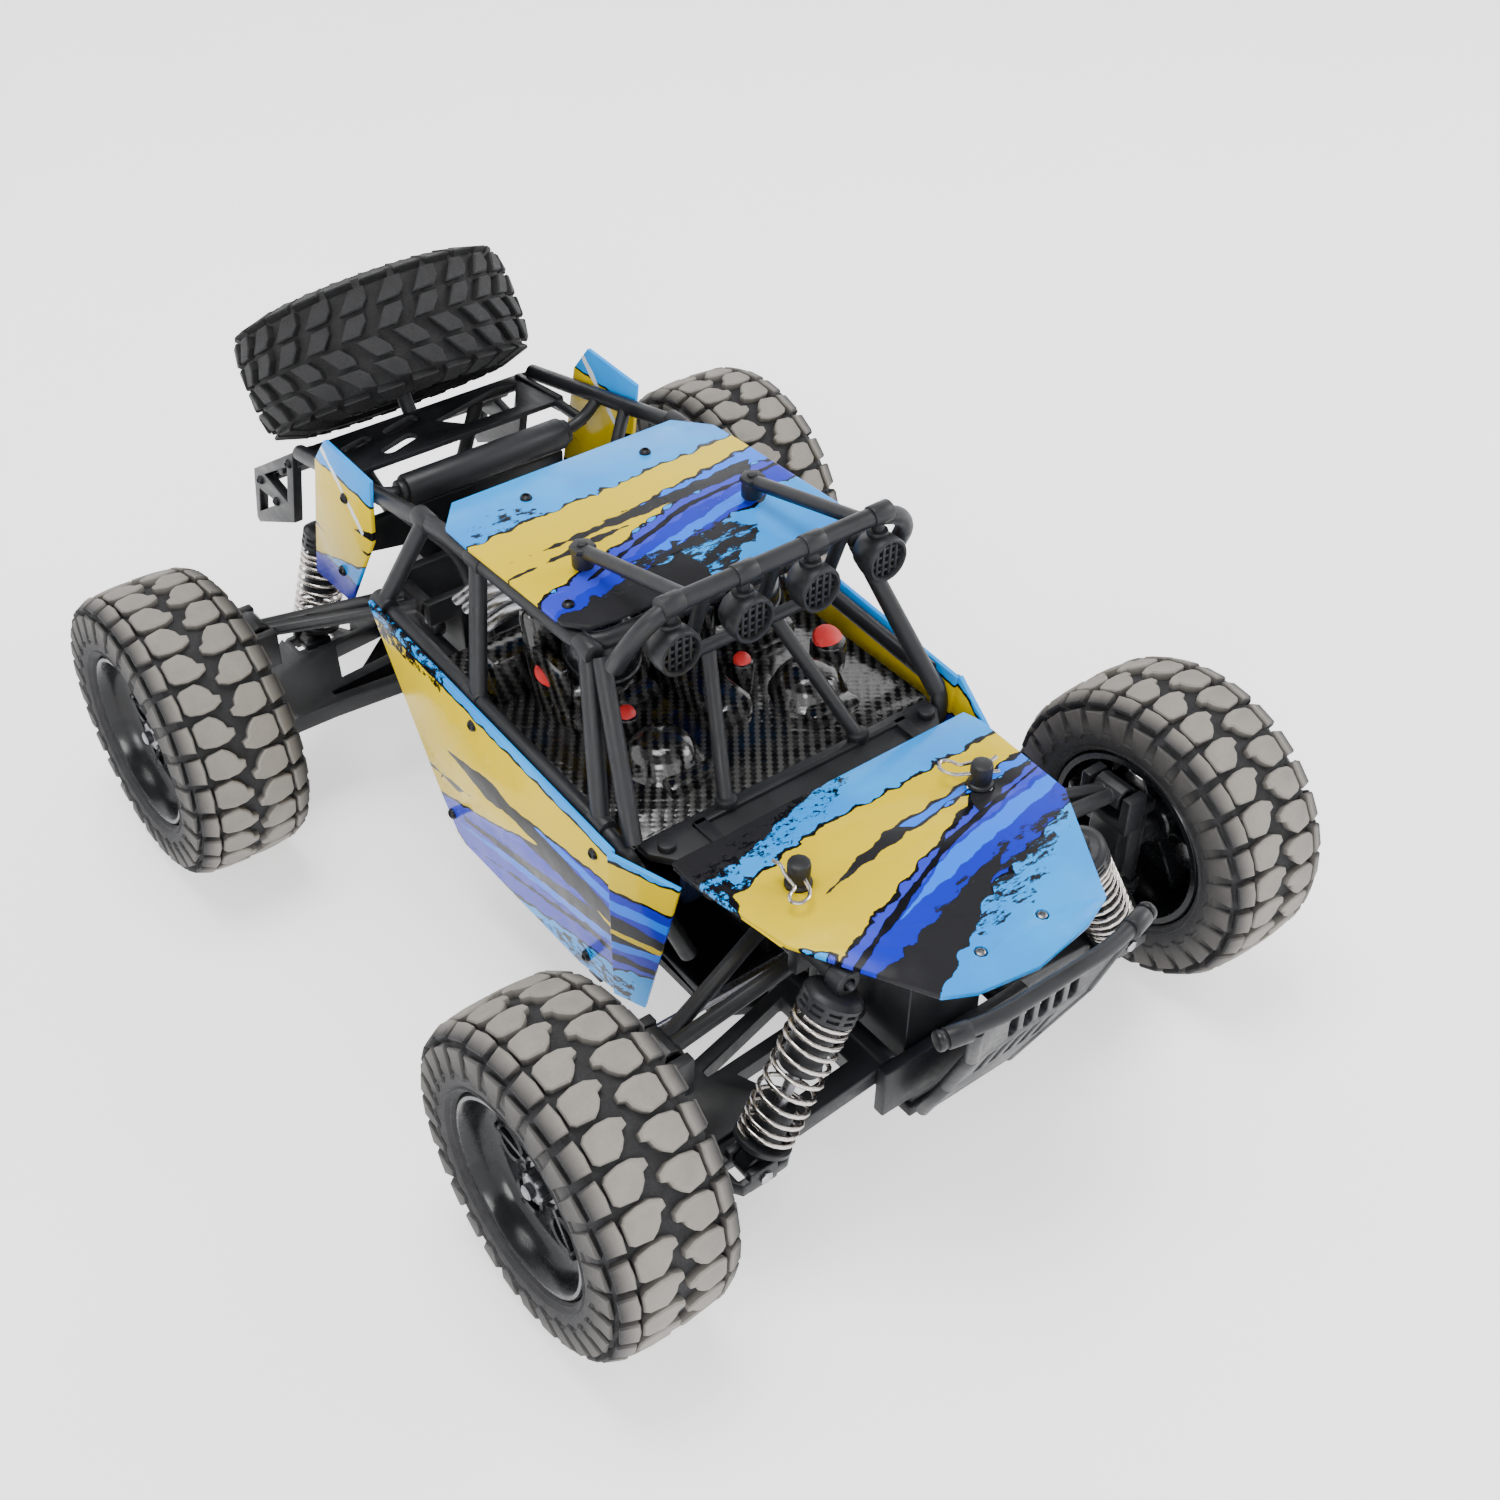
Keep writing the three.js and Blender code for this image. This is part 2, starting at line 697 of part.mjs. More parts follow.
function frontBumper() {
  const bar = run([[-33.5, -151.4, 86], [-18, -154.4, 86], [18, -154.4, 86], [33.5, -151.4, 86]], 2.8);
  const inner = [[-128.6, 27], [-128.6, 33], [-137.6, 47], [-147, 68], [-151.6, 85]];
  const outer = [[-155.4, 85], [-150.6, 67], [-141, 45], [-134, 29]];
  const skid = prism([...inner, ...outer], "x", -15.6, 15.6);
  const slots = [-8, 0, 8].map((x) => block([x - 2, -160, 52], [x + 2, -130, 66]));
  const struts = bothSides(run([[31, -152, 86], [14.6, -139.4, 49]], 2.2));
  return join(cut(skid, ...slots), bar, ...struts);
}

// ---- Printed panels.

function roofPanel() {
  const outline = [
    [-37, 47], [-45, 37], [-45.5, 26], [-45.5, -19], [-41, -25], [-33, -26],
    [33, -26], [41, -25], [45.5, -19], [45.5, 26], [45, 37], [37, 47],
  ];
  const plate = prism(outline, "z", -PANEL, 0);
  plate.translate(0, 19, 0);
  plate.rotateX(-Math.atan(ROOF_FALL));
  plate.translate(0, -19, ROOF_FRONT);
  return plate;
}

function hoodPanel() {
  const plan = prism(
    [
      [49, -70], [50, -76], [46, -111], [27, -144], [18, -147], [0, -149],
      [-18, -147], [-27, -144], [-46, -111], [-50, -76], [-49, -70],
    ],
    "z",
    70,
    110,
  );
  const top = [[-69, 88], [-111, 91], [-144, 89.5], [-150, 86]];
  const under = top.map(([y, z]) => [y, z - PANEL]).reverse();
  const skin = overlap(plan, prism([...top, ...under], "x", -60, 60));
  const skirt = sheet([[48.6, -71, 87.6], [45.6, -110, 90.4], [39.6, -97, 83], [43.4, -78, 80]]);
  const holes = bothSides(rod([30.2, -96, 80], [30.2, -96, 100], 3.5, 12));
  const eyelets = bothSides(rod([10.1, -139, 80], [10.1, -139, 100], 1.8));
  return cut(join(skin, ...bothSides(skirt)), ...holes, ...eyelets);
}

// Side panel: a nearly upright sheet whose front end folds in towards the cowl.
function sidePanel() {
  const lean = 2.5 / 58;
  const outer = 59;
  const sill = outer - 55 * lean;
  const outline = [[60, 96], [34, 44], [26, 31], [22, 29], [-37, 29], [-55, 33], [-58, 88], [12, 92]];
  const flat = prism(outline, "x", -PANEL, 0).translate(0, 0, -88);
  flat.rotateY(Math.atan(lean));
  flat.translate(outer, 0, 88);
  const fold = sheet([
    [outer - 0.1, -57.4, 88],
    [51, -77, 86],
    [53, -64, 33.4],
    [sill - 0.1, -54.6, 33.4],
  ]);
  return join(flat, fold);
}

function fin() {
  const outline = [[76, 122], [79, 100], [98.6, 67.6], [120.8, 66.8], [110, 113], [102, 123]];
  return prism(outline, "x", 45.2, 45.2 + PANEL);
}

// ---- Cockpit: deck, two bucket seats with helmets, and the humps ahead of them.

function cockpitTub() {
  const seat = (x) =>
    join(
      prism([[-12, 82], [10, 82], [14, 112], [8, 112], [2, 90], [-12, 88]], "x", x - 15, x + 15),
      new THREE.SphereGeometry(11.5, 10, 7).rotateX(Math.PI / 2).translate(x, -4, 103),
      rod([x, -2, 88], [x, -4, 100], 8),
    );
  const deck = join(
    block([-50, -50, 80.6], [50, 40, 84]),
    block([-48, 12, 80.6], [48, 22, 98]),
    ...[-25, 25].map((x) => rod([x, -45.6, 84], [x, -22, 86], 10, 12)),
  );
  const below = block([-60, -60, 60], [60, 60, 80.6]);
  return cut(join(deck, seat(-24), seat(24)), below);
}

// ---- Assembly.

for (const end of ["front", "rear"]) {
  for (const side of ["right", "left"]) addCorner(end, side);
}
placedGearbox("front_gearbox", frontGearbox(), -1);
placedGearbox("rear_gearbox", rearGearbox(), 1);

add("steering_link", steeringLink(), "black_plastic");
add("tie_rod_left", tieRod(), "steel");
add("tie_rod_right", mirrored(tieRod()), "steel");

add("chassis_tub", chassisTub(), "black_plastic");
add("motor", motor(), "motor_can");
add("battery_pack", block([-22, -36, 26.2], [22, 34, 48]), "battery_wrap");
add("control_unit", block([-20, -34, 49], [14, 6, 62]), "black_plastic");
add("steering_servo", steeringServo(), "black_plastic");

add("cage_left", cageSide(), "black_plastic");
add("cage_right", mirrored(cageSide()), "black_plastic");
add("rear_rack", rearRack(), "black_plastic");
add("light_bar", lightBar(), "black_plastic");
add("cowl_plate", cowlPlate(), "black_plastic");
add("front_bumper", frontBumper(), "black_plastic");
add("cockpit_tub", cockpitTub(), "gloss_black");

add("roof_panel", roofPanel(), "blue_panel");
add("hood_panel", hoodPanel(), "yellow_panel");
add("side_panel_left", sidePanel(), "blue_panel");
add("side_panel_right", mirrored(sidePanel()), "blue_panel");
add("fin_left", fin(), "yellow_panel");
add("fin_right", mirrored(fin()), "yellow_panel");

const spare = new THREE.Group();
spare.position.set(0, SPARE.y, SPARE.z);
spare.quaternion.setFromUnitVectors(
  vector([1, 0, 0]),
  vector([0, Math.cos(SPARE.lean), Math.sin(SPARE.lean)]),
);
car.add(spare);
add("spare_tyre", tyre(), "rubber", spare);
add("spare_rim", rim(), "gloss_black", spare);

// The origin is on the ground below the middle of the whole car's box.
car.updateMatrixWorld(true);
const whole = new THREE.Box3().setFromObject(car, true);
car.position.y = -(whole.min.y + whole.max.y) / 2;

export default car;
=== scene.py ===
# A 1:12 desert buggy with a tube cage, printed panels and a spare wheel, dressed over its frame.
# Pieces are modelled in millimetres, +Z up, the car's front towards -Y and its left at +X,
# counted along the car from the middle of the wheelbase, and brought into the frame as they finish.
import json
from math import atan2, cos, hypot, pi, radians, sin

import bmesh
import bpy
from mathutils import Matrix, Vector

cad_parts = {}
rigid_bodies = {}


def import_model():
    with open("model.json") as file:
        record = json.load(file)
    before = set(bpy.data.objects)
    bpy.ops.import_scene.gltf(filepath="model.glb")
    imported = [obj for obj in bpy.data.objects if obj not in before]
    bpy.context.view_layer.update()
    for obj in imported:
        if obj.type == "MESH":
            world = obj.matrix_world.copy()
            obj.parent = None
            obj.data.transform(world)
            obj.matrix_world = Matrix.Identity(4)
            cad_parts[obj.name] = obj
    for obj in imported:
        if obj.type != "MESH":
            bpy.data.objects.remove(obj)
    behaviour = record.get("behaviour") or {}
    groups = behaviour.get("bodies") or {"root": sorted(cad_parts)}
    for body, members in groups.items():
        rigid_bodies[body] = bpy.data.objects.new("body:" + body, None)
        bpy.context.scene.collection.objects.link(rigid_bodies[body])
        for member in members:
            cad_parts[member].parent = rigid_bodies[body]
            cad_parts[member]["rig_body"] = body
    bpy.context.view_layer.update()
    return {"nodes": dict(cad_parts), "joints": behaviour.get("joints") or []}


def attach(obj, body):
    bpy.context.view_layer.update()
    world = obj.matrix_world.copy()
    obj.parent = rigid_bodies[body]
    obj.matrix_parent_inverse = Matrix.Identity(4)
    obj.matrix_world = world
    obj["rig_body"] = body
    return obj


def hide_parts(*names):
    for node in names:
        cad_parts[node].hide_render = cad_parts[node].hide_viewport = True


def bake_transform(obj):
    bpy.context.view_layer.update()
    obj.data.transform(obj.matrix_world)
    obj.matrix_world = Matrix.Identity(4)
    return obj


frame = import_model()

MM = 0.001
PIVOTS = {joint["name"]: joint.get("pos_m") for joint in frame["joints"]}
FRONT_AXLE = PIVOTS["wheel_front_left"]
REAR_AXLE = PIVOTS["wheel_rear_left"]
MIDDLE = (FRONT_AXLE[1] + REAR_AXLE[1]) / 2
HALF_BASE = (REAR_AXLE[1] - FRONT_AXLE[1]) / 2 / MM
HALF_TRACK = FRONT_AXLE[0] / MM
WHEEL_HEIGHT = FRONT_AXLE[2] / MM
TO_FRAME = Matrix.Translation((0, MIDDLE, 0)) @ Matrix.Scale(MM, 4)

SIDES = {"left": 1, "right": -1}
ENDS = {"front": -1, "rear": 1}
TUBE = 2.5
SPARE_LEAN = 0.3 * pi
SPARE_PLACE = (0, 150, 118)
ROOF_FRONT, ROOF_FALL = 129.5, 0.038
ROOF_SCREWS = ((20, 36), (39.8, -14))
LAMPS, LAMP_LEVEL, LAMP_STAY = (-33, -10.7, 10.7, 33), 134.4, 27.7


# ---- Mesh helpers, in millimetres.

def at(x, y, z):
    return Matrix.Translation((x, y, z))


def bevel(bm, edges, width, segments=2):
    bmesh.ops.bevel(bm, geom=edges, offset=width, affect="EDGES", segments=segments,
                    profile=0.5, material=-1)


def deliver(bm, name, materials, body, replaced=(), place=None, smooth=35):
    """Puts a finished shape into the frame as one object that rides on its body."""
    if place is not None:
        bm.transform(place)
    bm.transform(TO_FRAME)
    bmesh.ops.remove_doubles(bm, verts=bm.verts, dist=0.002 * MM)
    bmesh.ops.recalc_face_normals(bm, faces=bm.faces)
    return link(bm, name, materials, body, replaced, smooth)


def deliver_black(bm, name, replaced=()):
    """A black plastic piece that is fixed to the chassis."""
    return deliver(bm, name, BLACK, "chassis", replaced)


def link(bm, name, materials, body, replaced, smooth):
    """Makes the object, says what it rides on and is made of, and hides the parts it replaces."""
    mesh = bpy.data.meshes.new(name)
    bm.to_mesh(mesh)
    bm.free()
    for material in materials if isinstance(materials, (list, tuple)) else [materials]:
        mesh.materials.append(material)
    mesh.shade_smooth()
    mesh.set_sharp_from_angle(angle=radians(smooth))
    piece = bpy.data.objects.new(name, mesh)
    bpy.context.scene.collection.objects.link(piece)
    if body:
        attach(piece, body)
    if replaced:
        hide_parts(*replaced)
    return piece


def absorb(bm, other, place=None, index=0):
    """Moves another shape into this one."""
    if place is not None:
        other.transform(place)
    for face in other.faces:
        face.material_index = index
    mesh = bpy.data.meshes.new("part")
    other.to_mesh(mesh)
    other.free()
    bm.from_mesh(mesh)
    bpy.data.meshes.remove(mesh)


def turn_to(direction, origin=(0, 0, 0)):
    """Turns +Z towards a direction and moves the origin."""
    turn = Vector((0, 0, 1)).rotation_difference(Vector(direction)).to_matrix().to_4x4()
    return Matrix.Translation(origin) @ turn


def slab(bm, low, high, round_off=0.4, place=None, index=0):
    """A block between two corners, with its edges rounded off."""
    box = bmesh.new()
    bmesh.ops.create_cube(box, size=1)
    low, high = Vector(low), Vector(high)
    bmesh.ops.scale(box, vec=high - low, verts=box.verts)
    bmesh.ops.translate(box, vec=(low + high) / 2, verts=box.verts)
    soften(box, round_off)
    absorb(bm, box, place, index)


def soften(bm, width, angle=30, segments=2):
    edges = [e for e in bm.edges if e.is_manifold and e.calc_face_angle(0) > radians(angle)]
    bevel(bm, edges, width, segments)


def rod(bm, start, end, radius, sides=16, round_off=0.3, index=0):
    """A bar between two points; six sides make a nut."""
    start, end = Vector(start), Vector(end)
    bar = bmesh.new()
    bmesh.ops.create_cone(bar, cap_ends=True, segments=sides, radius1=radius, radius2=radius,
                          depth=(end - start).length)
    if round_off:
        rims = [e for e in bar.edges if e.calc_face_angle(0) > radians(60)]
        bevel(bar, rims, round_off)
    absorb(bm, bar, turn_to(end - start, (start + end) / 2), index)


def lathe(bm, profile, steps=32, place=None, closed=False, index=0):
    """Spins (radius, height) points round Z."""
    shape = bmesh.new()
    points = [shape.verts.new((r, 0, z)) for r, z in profile]
    edges = [shape.edges.new(pair) for pair in zip(points, points[1:])]
    if closed:
        edges.append(shape.edges.new((points[-1], points[0])))
    bmesh.ops.spin(shape, geom=points + edges, cent=(0, 0, 0), axis=(0, 0, 1), angle=2 * pi,
                   steps=steps, use_merge=True)
    bmesh.ops.remove_doubles(shape, verts=shape.verts, dist=0.002)
    bmesh.ops.recalc_face_normals(shape, faces=shape.faces)
    absorb(bm, shape, place, index)


def from_curve(bm, curve, place, index):
    """Turns a curve into mesh and moves it into the shape."""
    carrier = bpy.data.objects.new("route", curve)
    bpy.context.scene.collection.objects.link(carrier)
    bpy.context.view_layer.update()
    mesh = bpy.data.meshes.new_from_object(carrier.evaluated_get(
        bpy.context.evaluated_depsgraph_get()))
    bpy.data.objects.remove(carrier)
    bpy.data.curves.remove(curve)
    shape = bmesh.new()
    shape.from_mesh(mesh)
    bpy.data.meshes.remove(mesh)
    bmesh.ops.remove_doubles(shape, verts=shape.verts, dist=0.002)
    bmesh.ops.recalc_face_normals(shape, faces=shape.faces)
    absorb(bm, shape, place, index)


def eased(points, radius, steps=5):
    """A route whose corners are rounded off."""
    points = [Vector(p) for p in points]
    route = [points[0]]
    for before, corner, after in zip(points, points[1:], points[2:]):
        back, ahead = before - corner, after - corner
        reach = min(radius, back.length * 0.45, ahead.length * 0.45)
        start, end = corner + back.normalized() * reach, corner + ahead.normalized() * reach
        for i in range(steps + 1):
            t = i / steps
            route.append(start * (1 - t) ** 2 + corner * 2 * t * (1 - t) + end * t ** 2)
    return route + [points[-1]]


def tubes(bm, routes, radius, bend=8, detail=5, place=None, index=0, closed=False):
    """Round bars along routes, with rounded corners."""
    curve = bpy.data.curves.new("route", "CURVE")
    curve.dimensions = "3D"
    curve.bevel_depth = radius
    curve.bevel_resolution = detail
    curve.use_fill_caps = True
    for points in routes:
        route = eased(points, bend) if bend else points
        spline = curve.splines.new("POLY")
        spline.points.add(len(route) - 1)
        for point, place_at in zip(spline.points, route):
            point.co = (*place_at, 1)
        spline.use_cyclic_u = closed
    from_curve(bm, curve, place, index)


def circle(radius, centre=(0, 0), steps=20):
    return [(centre[0] + radius * cos(2 * pi * i / steps),
             centre[1] + radius * sin(2 * pi * i / steps)) for i in range(steps)]


def slot_hole(start, end, radius, steps=8):
    """The outline of a slot with round ends."""
    along = Vector(end) - Vector(start)
    heading = atan2(along.y, along.x)
    outline = []
    for centre, first in ((end, heading - pi / 2), (start, heading + pi / 2)):
        for i in range(steps + 1):
            angle = first + pi * i / steps
            outline.append((centre[0] + radius * cos(angle), centre[1] + radius * sin(angle)))
    return outline


def plate(bm, outline, holes, thickness, place=None, round_off=0.35, index=0):
    """A flat plate in the XY plane, from 0 up to its thickness, with holes right through."""
    curve = bpy.data.curves.new("plate", "CURVE")
    curve.dimensions = "2D"
    curve.fill_mode = "BOTH"
    curve.extrude = thickness / 2 - round_off
    curve.bevel_depth = round_off
    curve.bevel_resolution = 1
    curve.offset = -round_off
    for points in [outline, *holes]:
        spline = curve.splines.new("POLY")
        spline.points.add(len(points) - 1)
        for point, (x, y) in zip(spline.points, points):
            point.co = (x, y, 0, 1)
        spline.use_cyclic_u = True
    lift = at(0, 0, thickness / 2)
    from_curve(bm, curve, lift if place is None else place @ lift, index)


def upright(x):
    """The YZ plane at x, for a plate drawn as (y, z)."""
    return Matrix(((0, 0, 1, x), (1, 0, 0, 0), (0, 1, 0, 0), (0, 0, 0, 1)))


def corner(end, side):
    """A corner's own frame: x outwards, y from the axle towards that end of the car."""
    place = at(0, ENDS[end] * HALF_BASE, 0)
    return place @ Matrix.Diagonal((SIDES[side], ENDS[end], 1, 1))


def softened(node, material, width=0.3, angle=35):
    """A CAD node's own shape with its hard edges eased."""
    bm = bmesh.new()
    bm.from_mesh(frame["nodes"][node].data)
    bmesh.ops.remove_doubles(bm, verts=bm.verts, dist=0.002 * MM)
    bmesh.ops.dissolve_limit(bm, angle_limit=radians(1.5), verts=bm.verts, edges=bm.edges)
    soften(bm, width * MM, angle)
    bmesh.ops.recalc_face_normals(bm, faces=bm.faces)
    body = frame["nodes"][node]["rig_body"]
    return link(bm, node + "_shell", material, body, [node], 32)


# ---- Finishes. Every pattern is laid out in millimetres of the car.

class Finish:
    def __init__(self, name, rough, metal=0.0, coat=0.0, specular=0.5):
        self.material = bpy.data.materials.new(name)
        self.material.use_nodes = True
        self.tree = self.material.node_tree
        self.shader = self.tree.nodes["Principled BSDF"]
        self.set("Roughness", rough)
        self.set("Metallic", metal)
        self.set("Coat Weight", coat)
        self.set("Coat Roughness", 0.08)
        self.set("Specular IOR Level", specular)
        place = self.node("ShaderNodeTexCoord").outputs["Object"]
        place = self.vector("ADD", place, (0, -MIDDLE, 0))
        self.place = self.vector("SCALE", place, scale=1 / MM)

    def node(self, kind, inputs=None, **settings):
        made = self.tree.nodes.new(kind)
        for name, value in settings.items():
            setattr(made, name, value)
        for key, value in (inputs or {}).items():
            self.feed(made.inputs[key], value)
        return made

    def feed(self, socket, value):
        if isinstance(value, bpy.types.NodeSocket):
            self.tree.links.new(value, socket)
        else:
            socket.default_value = value

    def set(self, name, value):
        self.feed(self.shader.inputs[name], value)

    def vector(self, operation, a, b=None, scale=None):
        made = self.node("ShaderNodeVectorMath", operation=operation)
        self.feed(made.inputs[0], a)
        if b is not None:
            self.feed(made.inputs[1], b)
        if scale is not None:
            self.feed(made.inputs["Scale"], scale)
        return made.outputs["Value" if operation in ("DOT_PRODUCT", "LENGTH") else "Vector"]

    def math(self, operation, a, b=0.0, clamp=False):
        made = self.node("ShaderNodeMath", {0: a, 1: b}, operation=operation)
        made.use_clamp = clamp
        return made.outputs[0]

    def noise(self, scale, detail=3.0, rough=0.5, stretch=None, distortion=0.0):
        place = self.vector("MULTIPLY", self.place, stretch) if stretch else self.place
        return self.node("ShaderNodeTexNoise", {
            "Vector": place, "Scale": scale, "Detail": detail, "Roughness": rough,
            "Distortion": distortion}).outputs["Fac"]

    def span(self, value, low, high, to_low=0.0, to_high=1.0):
        return self.node("ShaderNodeMapRange", {
            "Value": value, "From Min": low, "From Max": high, "To Min": to_low,
            "To Max": to_high}).outputs[0]

    def mix(self, factor, a, b):
        made = self.node("ShaderNodeMix", data_type="RGBA")
        self.feed(made.inputs[0], factor)
        self.feed(made.inputs[6], colour(a))
        self.feed(made.inputs[7], colour(b))
        return made.outputs[2]

    def bump(self, height, depth, strength=1.0, under=None):
        made = self.node("ShaderNodeBump", {
            "Height": height, "Distance": depth * MM, "Strength": strength})
        if under is not None:
            self.feed(made.inputs["Normal"], under)
        return made.outputs[0]

    def along(self, axis):
        split = self.node("ShaderNodeSeparateXYZ", {0: self.place})
        return split.outputs["XYZ".index(axis)]


def colour(value):
    return (*value, 1) if isinstance(value, tuple) and len(value) == 3 else value


def moulded(name, shade, rough=0.46, grain=0.03):
    """Moulded plastic: fine grain, faint handling marks and a slight change of gloss."""
    f = Finish(name, rough, specular=0.32)
    cloud = f.noise(0.05, 4)
    lighter = tuple(c * 1.5 + 0.002 for c in shade)
    f.set("Base Color", f.mix(f.span(cloud, 0.35, 0.7), shade, lighter))
    scuff = f.noise(0.5, 6, 0.7, stretch=(1, 0.25, 1))
    f.set("Roughness", f.span(f.math("ADD", cloud, scuff), 0.7, 1.3, rough - 0.1, rough + 0.14))
    coarse = f.bump(f.noise(0.35, 3), grain * 1.6)
    f.set("Normal", f.bump(f.noise(3.2, 3), grain, under=coarse))
    return f.material


def rubber(name, shade, worn):
    """Tyre rubber: dark in the grooves, dusty and paler on the worn tops of the blocks."""
    f = Finish(name, 0.8, specular=0.3)
    wear = f.node("ShaderNodeAttribute", attribute_name="worn").outputs["Fac"]
    patchy = f.noise(0.22, 5, 0.6)
    fine = f.noise(1.6, 4, 0.7)
    dust = f.math("MULTIPLY", wear, f.span(f.math("ADD", patchy, fine), 0.55, 1.1, 0.75, 1.0))
    base = f.mix(f.span(patchy, 0.3, 0.75), shade, tuple(c * 1.7 for c in shade))
    f.set("Base Color", f.mix(dust, base, worn))
    f.set("Roughness", f.span(fine, 0.3, 0.7, 0.62, 0.9))
    f.set("Normal", f.bump(fine, 0.05, under=f.bump(patchy, 0.12)))
    return f.material


def metal(name, shade, rough, brushed=(1, 1, 1)):
    f = Finish(name, rough, metal=1.0)
    streak = f.noise(1.4, 4, 0.6, stretch=brushed)
    f.set("Base Color", f.mix(f.span(streak, 0.3, 0.75), shade, tuple(c * 0.72 for c in shade)))
    f.set("Roughness", f.span(f.noise(0.6, 5), 0.3, 0.75, rough * 0.7, rough * 1.7))
    f.set("Normal", f.bump(streak, 0.02))
    return f.material


RIB_PACE, CELL_PACE = 2.15, 3.4  # radians of the weave in each millimetre


def formed_film():
    """The cockpit insert: glossy formed sheet printed with a twill weave, rippled by forming."""
    f = Finish("cockpit_film", 0.14, coat=0.45, specular=0.42)
    x, y, z = (f.along(axis) for axis in "XYZ")
    times = lambda value, amount: f.math("MULTIPLY", value, amount)
    run = f.math("ADD", times(x, 0.8), f.math("SUBTRACT", times(z, 0.3), times(y, 0.6)))
    across = f.math("ADD", times(x, 0.6), f.math("ADD", times(y, 0.8), z))
    rib = f.math("SINE", times(run, RIB_PACE))
    cell = f.math("SINE", times(across, CELL_PACE))
    weave = f.math("ADD", rib, times(cell, 0.35))
    shade = f.span(f.noise(0.05, 3), 0.35, 0.7, 0.35, 1.0)
    twill = f.math("MULTIPLY", f.span(weave, -0.5, 0.8), shade)
    f.set("Base Color", f.mix(twill, (0.0025, 0.0025, 0.003), (0.05, 0.049, 0.047)))
    f.set("Roughness", f.span(weave, -1, 1, 0.1, 0.26))
    ripple = f.bump(f.noise(0.09, 2, 0.5, distortion=0.6), 0.7)
    f.set("Normal", f.bump(weave, 0.03, under=ripple))
    return f.material


SKY = (0.002, 0.235, 0.70)
PALE_SKY = (0.006, 0.30, 0.78)
YELLOW = (0.61, 0.44, 0.0)
ROYAL = (0.006, 0.016, 0.40)
VIOLET = (0.028, 0.04, 0.47)
BRIGHT = (0.004, 0.15, 0.80)
INK = (0.004, 0.004, 0.006)
CHARCOAL = (0.016, 0.016, 0.018)


class Print(Finish):
    """Ink printed on glossy sheet: torn-edged patches laid over each other."""

    def __init__(self, name, axes, swing=1.5):
        super().__init__(name, 0.26, coat=0.0, specular=0.1)
        self.axes = axes
        sky = self.span(self.noise(0.035, 3), 0.4, 0.65)
        self.ink = self.mix(sky, SKY, PALE_SKY)
        chips = self.node("ShaderNodeTexVoronoi", {"Vector": self.place, "Scale": 0.2},
                          feature="F1")
        broad = self.math("SUBTRACT", chips.outputs["Distance"], 0.42)
        sharp = self.math("SUBTRACT", self.noise(0.9, 3, 0.7), 0.5)
        self.torn = self.math("ADD", self.math("MULTIPLY", broad, swing * 1.5),
                              self.math("MULTIPLY", sharp, swing * 0.5))

    def depth(self, corners):
        """How far a point lies within a convex outline, in millimetres."""
        corners = [tuple(c) for c in corners]
        sides = list(zip(corners, corners[1:] + corners[:1]))
        if sum(ax * by - bx * ay for (ax, ay), (bx, by) in sides) < 0:
            sides = [(b, a) for a, b in sides]
        shape = None
        for (ax, ay), (bx, by) in sides:
            length = hypot(bx - ax, by - ay)
            inward = ((ay - by) / length, (bx - ax) / length)
            normal = [0.0, 0.0, 0.0]
            for amount, axis in zip(inward, self.axes):
                normal["XYZ".index(axis)] = amount
            level = ax * inward[0] + ay * inward[1]
            reach = self.vector("DOT_PRODUCT", self.place, tuple(normal))
            line = self.math("SUBTRACT", reach, level)
            shape = line if shape is None else self.math("MINIMUM", shape, line)
        return shape

    def inside(self, outlines, grow=0.0, tear=1.0):
        """1 within any of the outlines, whose edges are torn."""
        shape = None
        for corners in outlines:
            depth = self.depth(corners)
            shape = depth if shape is None else self.math("MAXIMUM", shape, depth)
        shape = self.math("ADD", shape, self.math("MULTIPLY", self.torn, tear))
        return self.span(shape, -0.06 - grow, 0.06 - grow)

    def patch(self, shade, *outlines, rim=0.0, tear=1.0):
        """A patch of ink, made of convex outlines, with a black rim if one is asked for."""
        if rim:
            self.ink = self.mix(self.inside(outlines, rim, tear * 1.7), self.ink, INK)
        self.ink = self.mix(self.inside(outlines, 0, tear), self.ink, shade)

    def splatter(self, outline, amount=0.5, shade=INK, size=0.5, stretch=(1, 1, 1)):
        """Broken ink within an outline."""
        flecks = self.noise(size, 6, 0.75, stretch=stretch)
        flecks = self.span(flecks, 0.5 + (0.5 - amount) * 0.3, 0.53 + (0.5 - amount) * 0.3)
        where = self.inside([outline], 0.5, 2.5)
        self.ink = self.mix(self.math("MULTIPLY", flecks, where), self.ink, shade)

    def finish(self):
        """Fine scratches over the inks, and a slight wave in the sheet."""
        scratch = self.noise(0.8, 5, 0.7, stretch=(0.15, 1, 0.4))
        worn = self.span(scratch, 0.68, 0.8)
        faint = self.math("MULTIPLY", worn, 0.25)
        self.set("Base Color", self.mix(faint, self.ink, (0.7, 0.72, 0.74)))
        self.set("Roughness", self.span(self.noise(0.2, 4), 0.3, 0.75, 0.12, 0.3))
        self.set("Normal", self.bump(self.noise(0.06, 2), 0.35))
        return self.material


